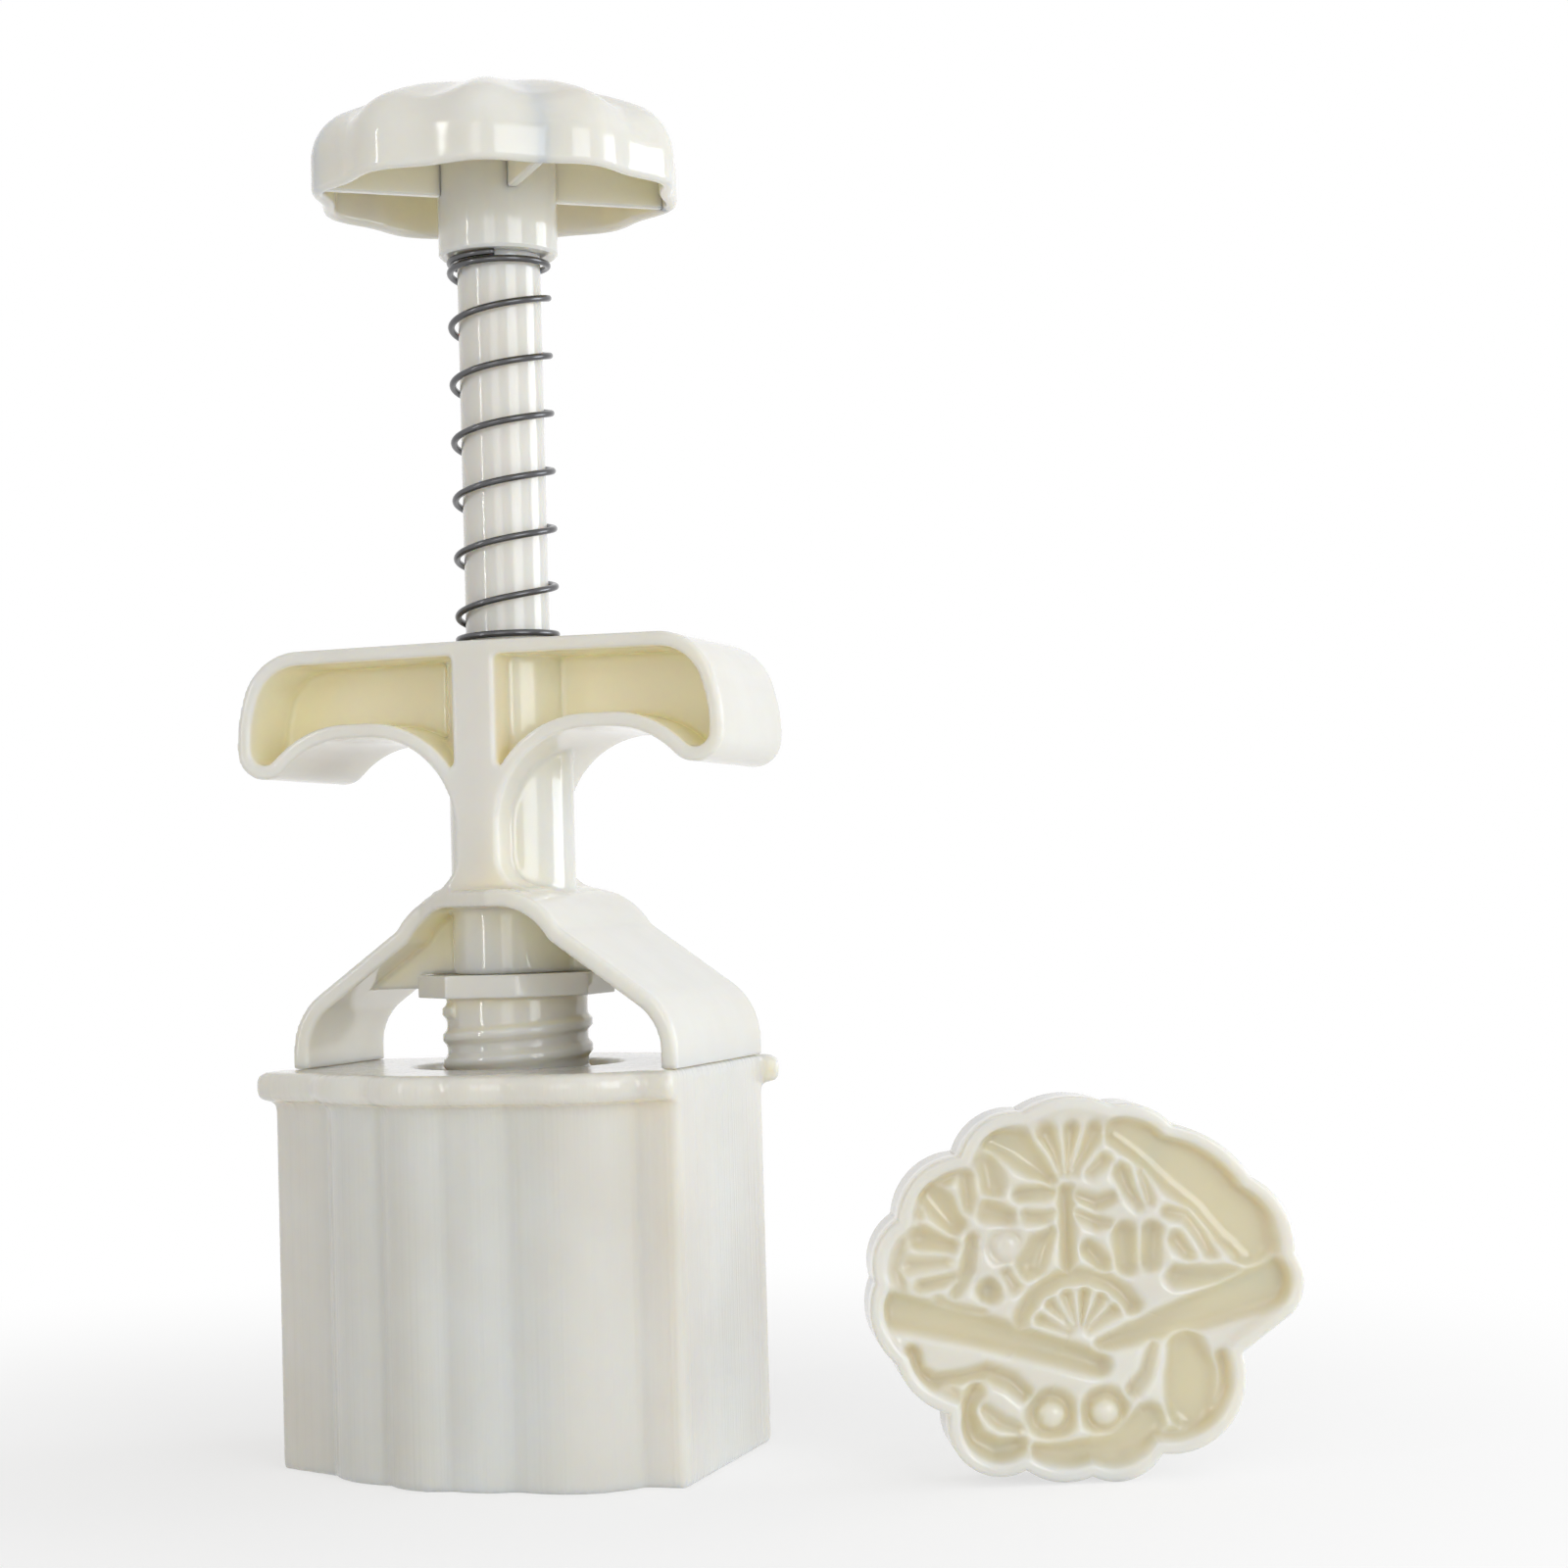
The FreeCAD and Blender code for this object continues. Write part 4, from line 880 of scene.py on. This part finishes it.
def back_ribs(polygon):
    """Ribs on the stamp's back, each a closed bar let into the socket's wall and the skirt."""
    half = STAMP_RIB / 2
    root = STAMP_SOCKET_RADIUS + STAMP_SOCKET_WALL / 2
    top = -STAMP_BACK + STAMP_EDGE
    foot = -(STAMP_SKIRT_DEPTH - STAMP_RIB_STEP)
    section = ((-half, top), (-half, foot + STAMP_EDGE), (-half + STAMP_EDGE, foot),
               (half - STAMP_EDGE, foot), (half, foot + STAMP_EDGE), (half, top))
    vertices = []
    faces = []
    for index in range(STAMP_RIBS):
        angle = 2 * math.pi * index / STAMP_RIBS
        end = radius_by_angle(polygon, np.array([angle]))[0] - STAMP_SKIRT_WALL / 2
        way, aside = directions(angle)
        rings = [[reach * way + side * aside + np.array([0.0, 0.0, height])
                  for side, height in section] for reach in (root, end)]
        faces += closed_bar(rings, len(vertices))
        vertices += [vertex for ring in rings for vertex in ring]
    return np.array(vertices), faces


def inner_outline(outer, wall):
    """The outline moved inwards by the wall, along its own smoothed normals."""
    span = STAMP_NORMAL_SPAN
    run = np.roll(outer, -span, axis=0) - np.roll(outer, span, axis=0)
    normal = np.column_stack([-run[:, 1], run[:, 0]])
    normal /= np.linalg.norm(normal, axis=1)[:, None]
    return outer + normal * wall


def pattern_plate():
    """The stamp as one mesh of closed rings, from the middle of its face to its socket."""
    polygon = fan_outline()
    angles = 2 * math.pi * np.arange(RELIEF_RAYS) / RELIEF_RAYS
    way = np.stack([np.cos(angles), np.sin(angles)], axis=1)
    reach = radius_by_angle(polygon, angles)
    rings = face_rings(polygon, way, reach) + back_rings(way * reach[:, None], way)
    vertices = np.vstack(rings)
    rib_vertices, rib_faces = back_ribs(polygon)
    faces = closed_bar(rings, 0)
    faces += [tuple(i + len(vertices) for i in face) for face in rib_faces]
    return mesh_object("pattern_plate", np.vstack([vertices, rib_vertices]) * MM, faces)


def stamp_matrix():
    """Stands the stamp up on its lobes, beside the press."""
    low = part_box("pattern_stamp")[0][2]
    lowest = fan_outline()[:, 1].min() * MM
    place = Matrix.Translation((STAMP_PLACE_X, STAMP_PLACE_Y, low - lowest))
    return place @ Matrix.Rotation(STAMP_TURN, 4, "Z") @ Matrix.Rotation(math.pi / 2, 4, "X")


def loose_stamp():
    plate = pattern_plate()
    plate.data.transform(stamp_matrix())
    dress(plate, STAMP_IVORY)
    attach(plate, "stamp")
    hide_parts("pattern_stamp")


# ------------------------------------------------------ floor and lighting


def seen_directly(n):
    """1 for camera, glossy and transmission rays, else 0."""
    path = n.add("LightPath").outputs
    total = n.combine("ADD", path["Is Camera Ray"], path["Is Glossy Ray"])
    return n.combine("ADD", total, path["Is Transmission Ray"], use_clamp=True)


def studio_floor():
    bpy.ops.mesh.primitive_plane_add(size=FLOOR_SIZE, location=(0, 0, 0))
    floor = bpy.context.object
    floor.name = "floor"
    material = bpy.data.materials.new("pale_floor")
    n = Nodes(material)
    matt = n.add("BsdfDiffuse")
    matt.inputs["Color"].default_value = FLOOR_COLOUR
    white = n.add("Emission")
    white.inputs["Strength"].default_value = 1.0
    reach = n.add("VectorMath", operation="LENGTH")
    n.link(n.place(), reach.inputs[0])
    fade = n.span(reach.outputs["Value"], SHADOW_WHITE, 1.0, SHADOW_NEAR, SHADOW_FAR,
                  interpolation_type="SMOOTHSTEP")
    share = n.combine("MULTIPLY", fade, seen_directly(n))
    n.show_mix(share, matt.outputs["BSDF"], white.outputs["Emission"])
    floor.data.materials.append(material)


def studio_world():
    world = bpy.data.worlds.new("studio")
    bpy.context.scene.world = world
    n = Nodes(world, "OutputWorld")
    parts = n.add("SeparateXYZ")
    n.link(n.add("TexCoord").outputs["Generated"], parts.inputs["Vector"])
    across = n.span(parts.outputs["X"], 0.0, 1.0, -1.0, 1.0)
    fill = n.add("Background")
    n.link(n.ramp(across, (0.0, 1.0), (FILL_LEFT, FILL_RIGHT)), fill.inputs["Color"])
    fill.inputs["Strength"].default_value = 1.0
    white = n.add("Background")
    white.inputs["Color"].default_value = (*WHITE, 1.0)
    white.inputs["Strength"].default_value = 1.0
    n.show_mix(seen_directly(n), fill.outputs["Background"], white.outputs["Background"])


def softbox(name, azimuth, distance, height, width, tall, power, colour):
    """A rectangular lamp at an azimuth from the front towards +X, aimed at the press."""
    lamp = bpy.data.lights.new(name, "AREA")
    lamp.shape = "RECTANGLE"
    lamp.size = width
    lamp.size_y = tall
    lamp.energy = power
    lamp.color = colour
    obj = link(bpy.data.objects.new(name, lamp))
    turn = math.radians(azimuth)
    obj.location = (distance * math.sin(turn), -distance * math.cos(turn), height)
    aim = Vector(LAMP_AIM) - obj.location
    obj.rotation_euler = aim.to_track_quat("-Z", "Y").to_euler()


def camera():
    aside = Vector((math.cos(CAMERA_AZIMUTH), math.sin(CAMERA_AZIMUTH), 0.0))
    target = aside * AIM_ASIDE + Vector((0, 0, AIM_HEIGHT))
    place = Vector((CAMERA_DISTANCE * math.sin(CAMERA_AZIMUTH),
                    -CAMERA_DISTANCE * math.cos(CAMERA_AZIMUTH), CAMERA_HEIGHT))
    data = bpy.data.cameras.new("camera")
    data.lens = LENS
    data.sensor_width = SENSOR
    data.clip_start = CLIP_START
    obj = link(bpy.data.objects.new("camera", data))
    turn = (target - place).to_track_quat("-Z", "Y").to_matrix().to_4x4()
    obj.matrix_world = Matrix.Translation(place) @ turn @ Matrix.Rotation(CAMERA_ROLL, 4, "Z")
    bpy.context.scene.camera = obj


dress_nodes()
fluted_knob()
coil_spring()
loose_stamp()
studio_floor()
studio_world()
for lamp in LAMPS:
    softbox(*lamp)
camera()
bpy.context.scene.view_settings.view_transform = "Standard"
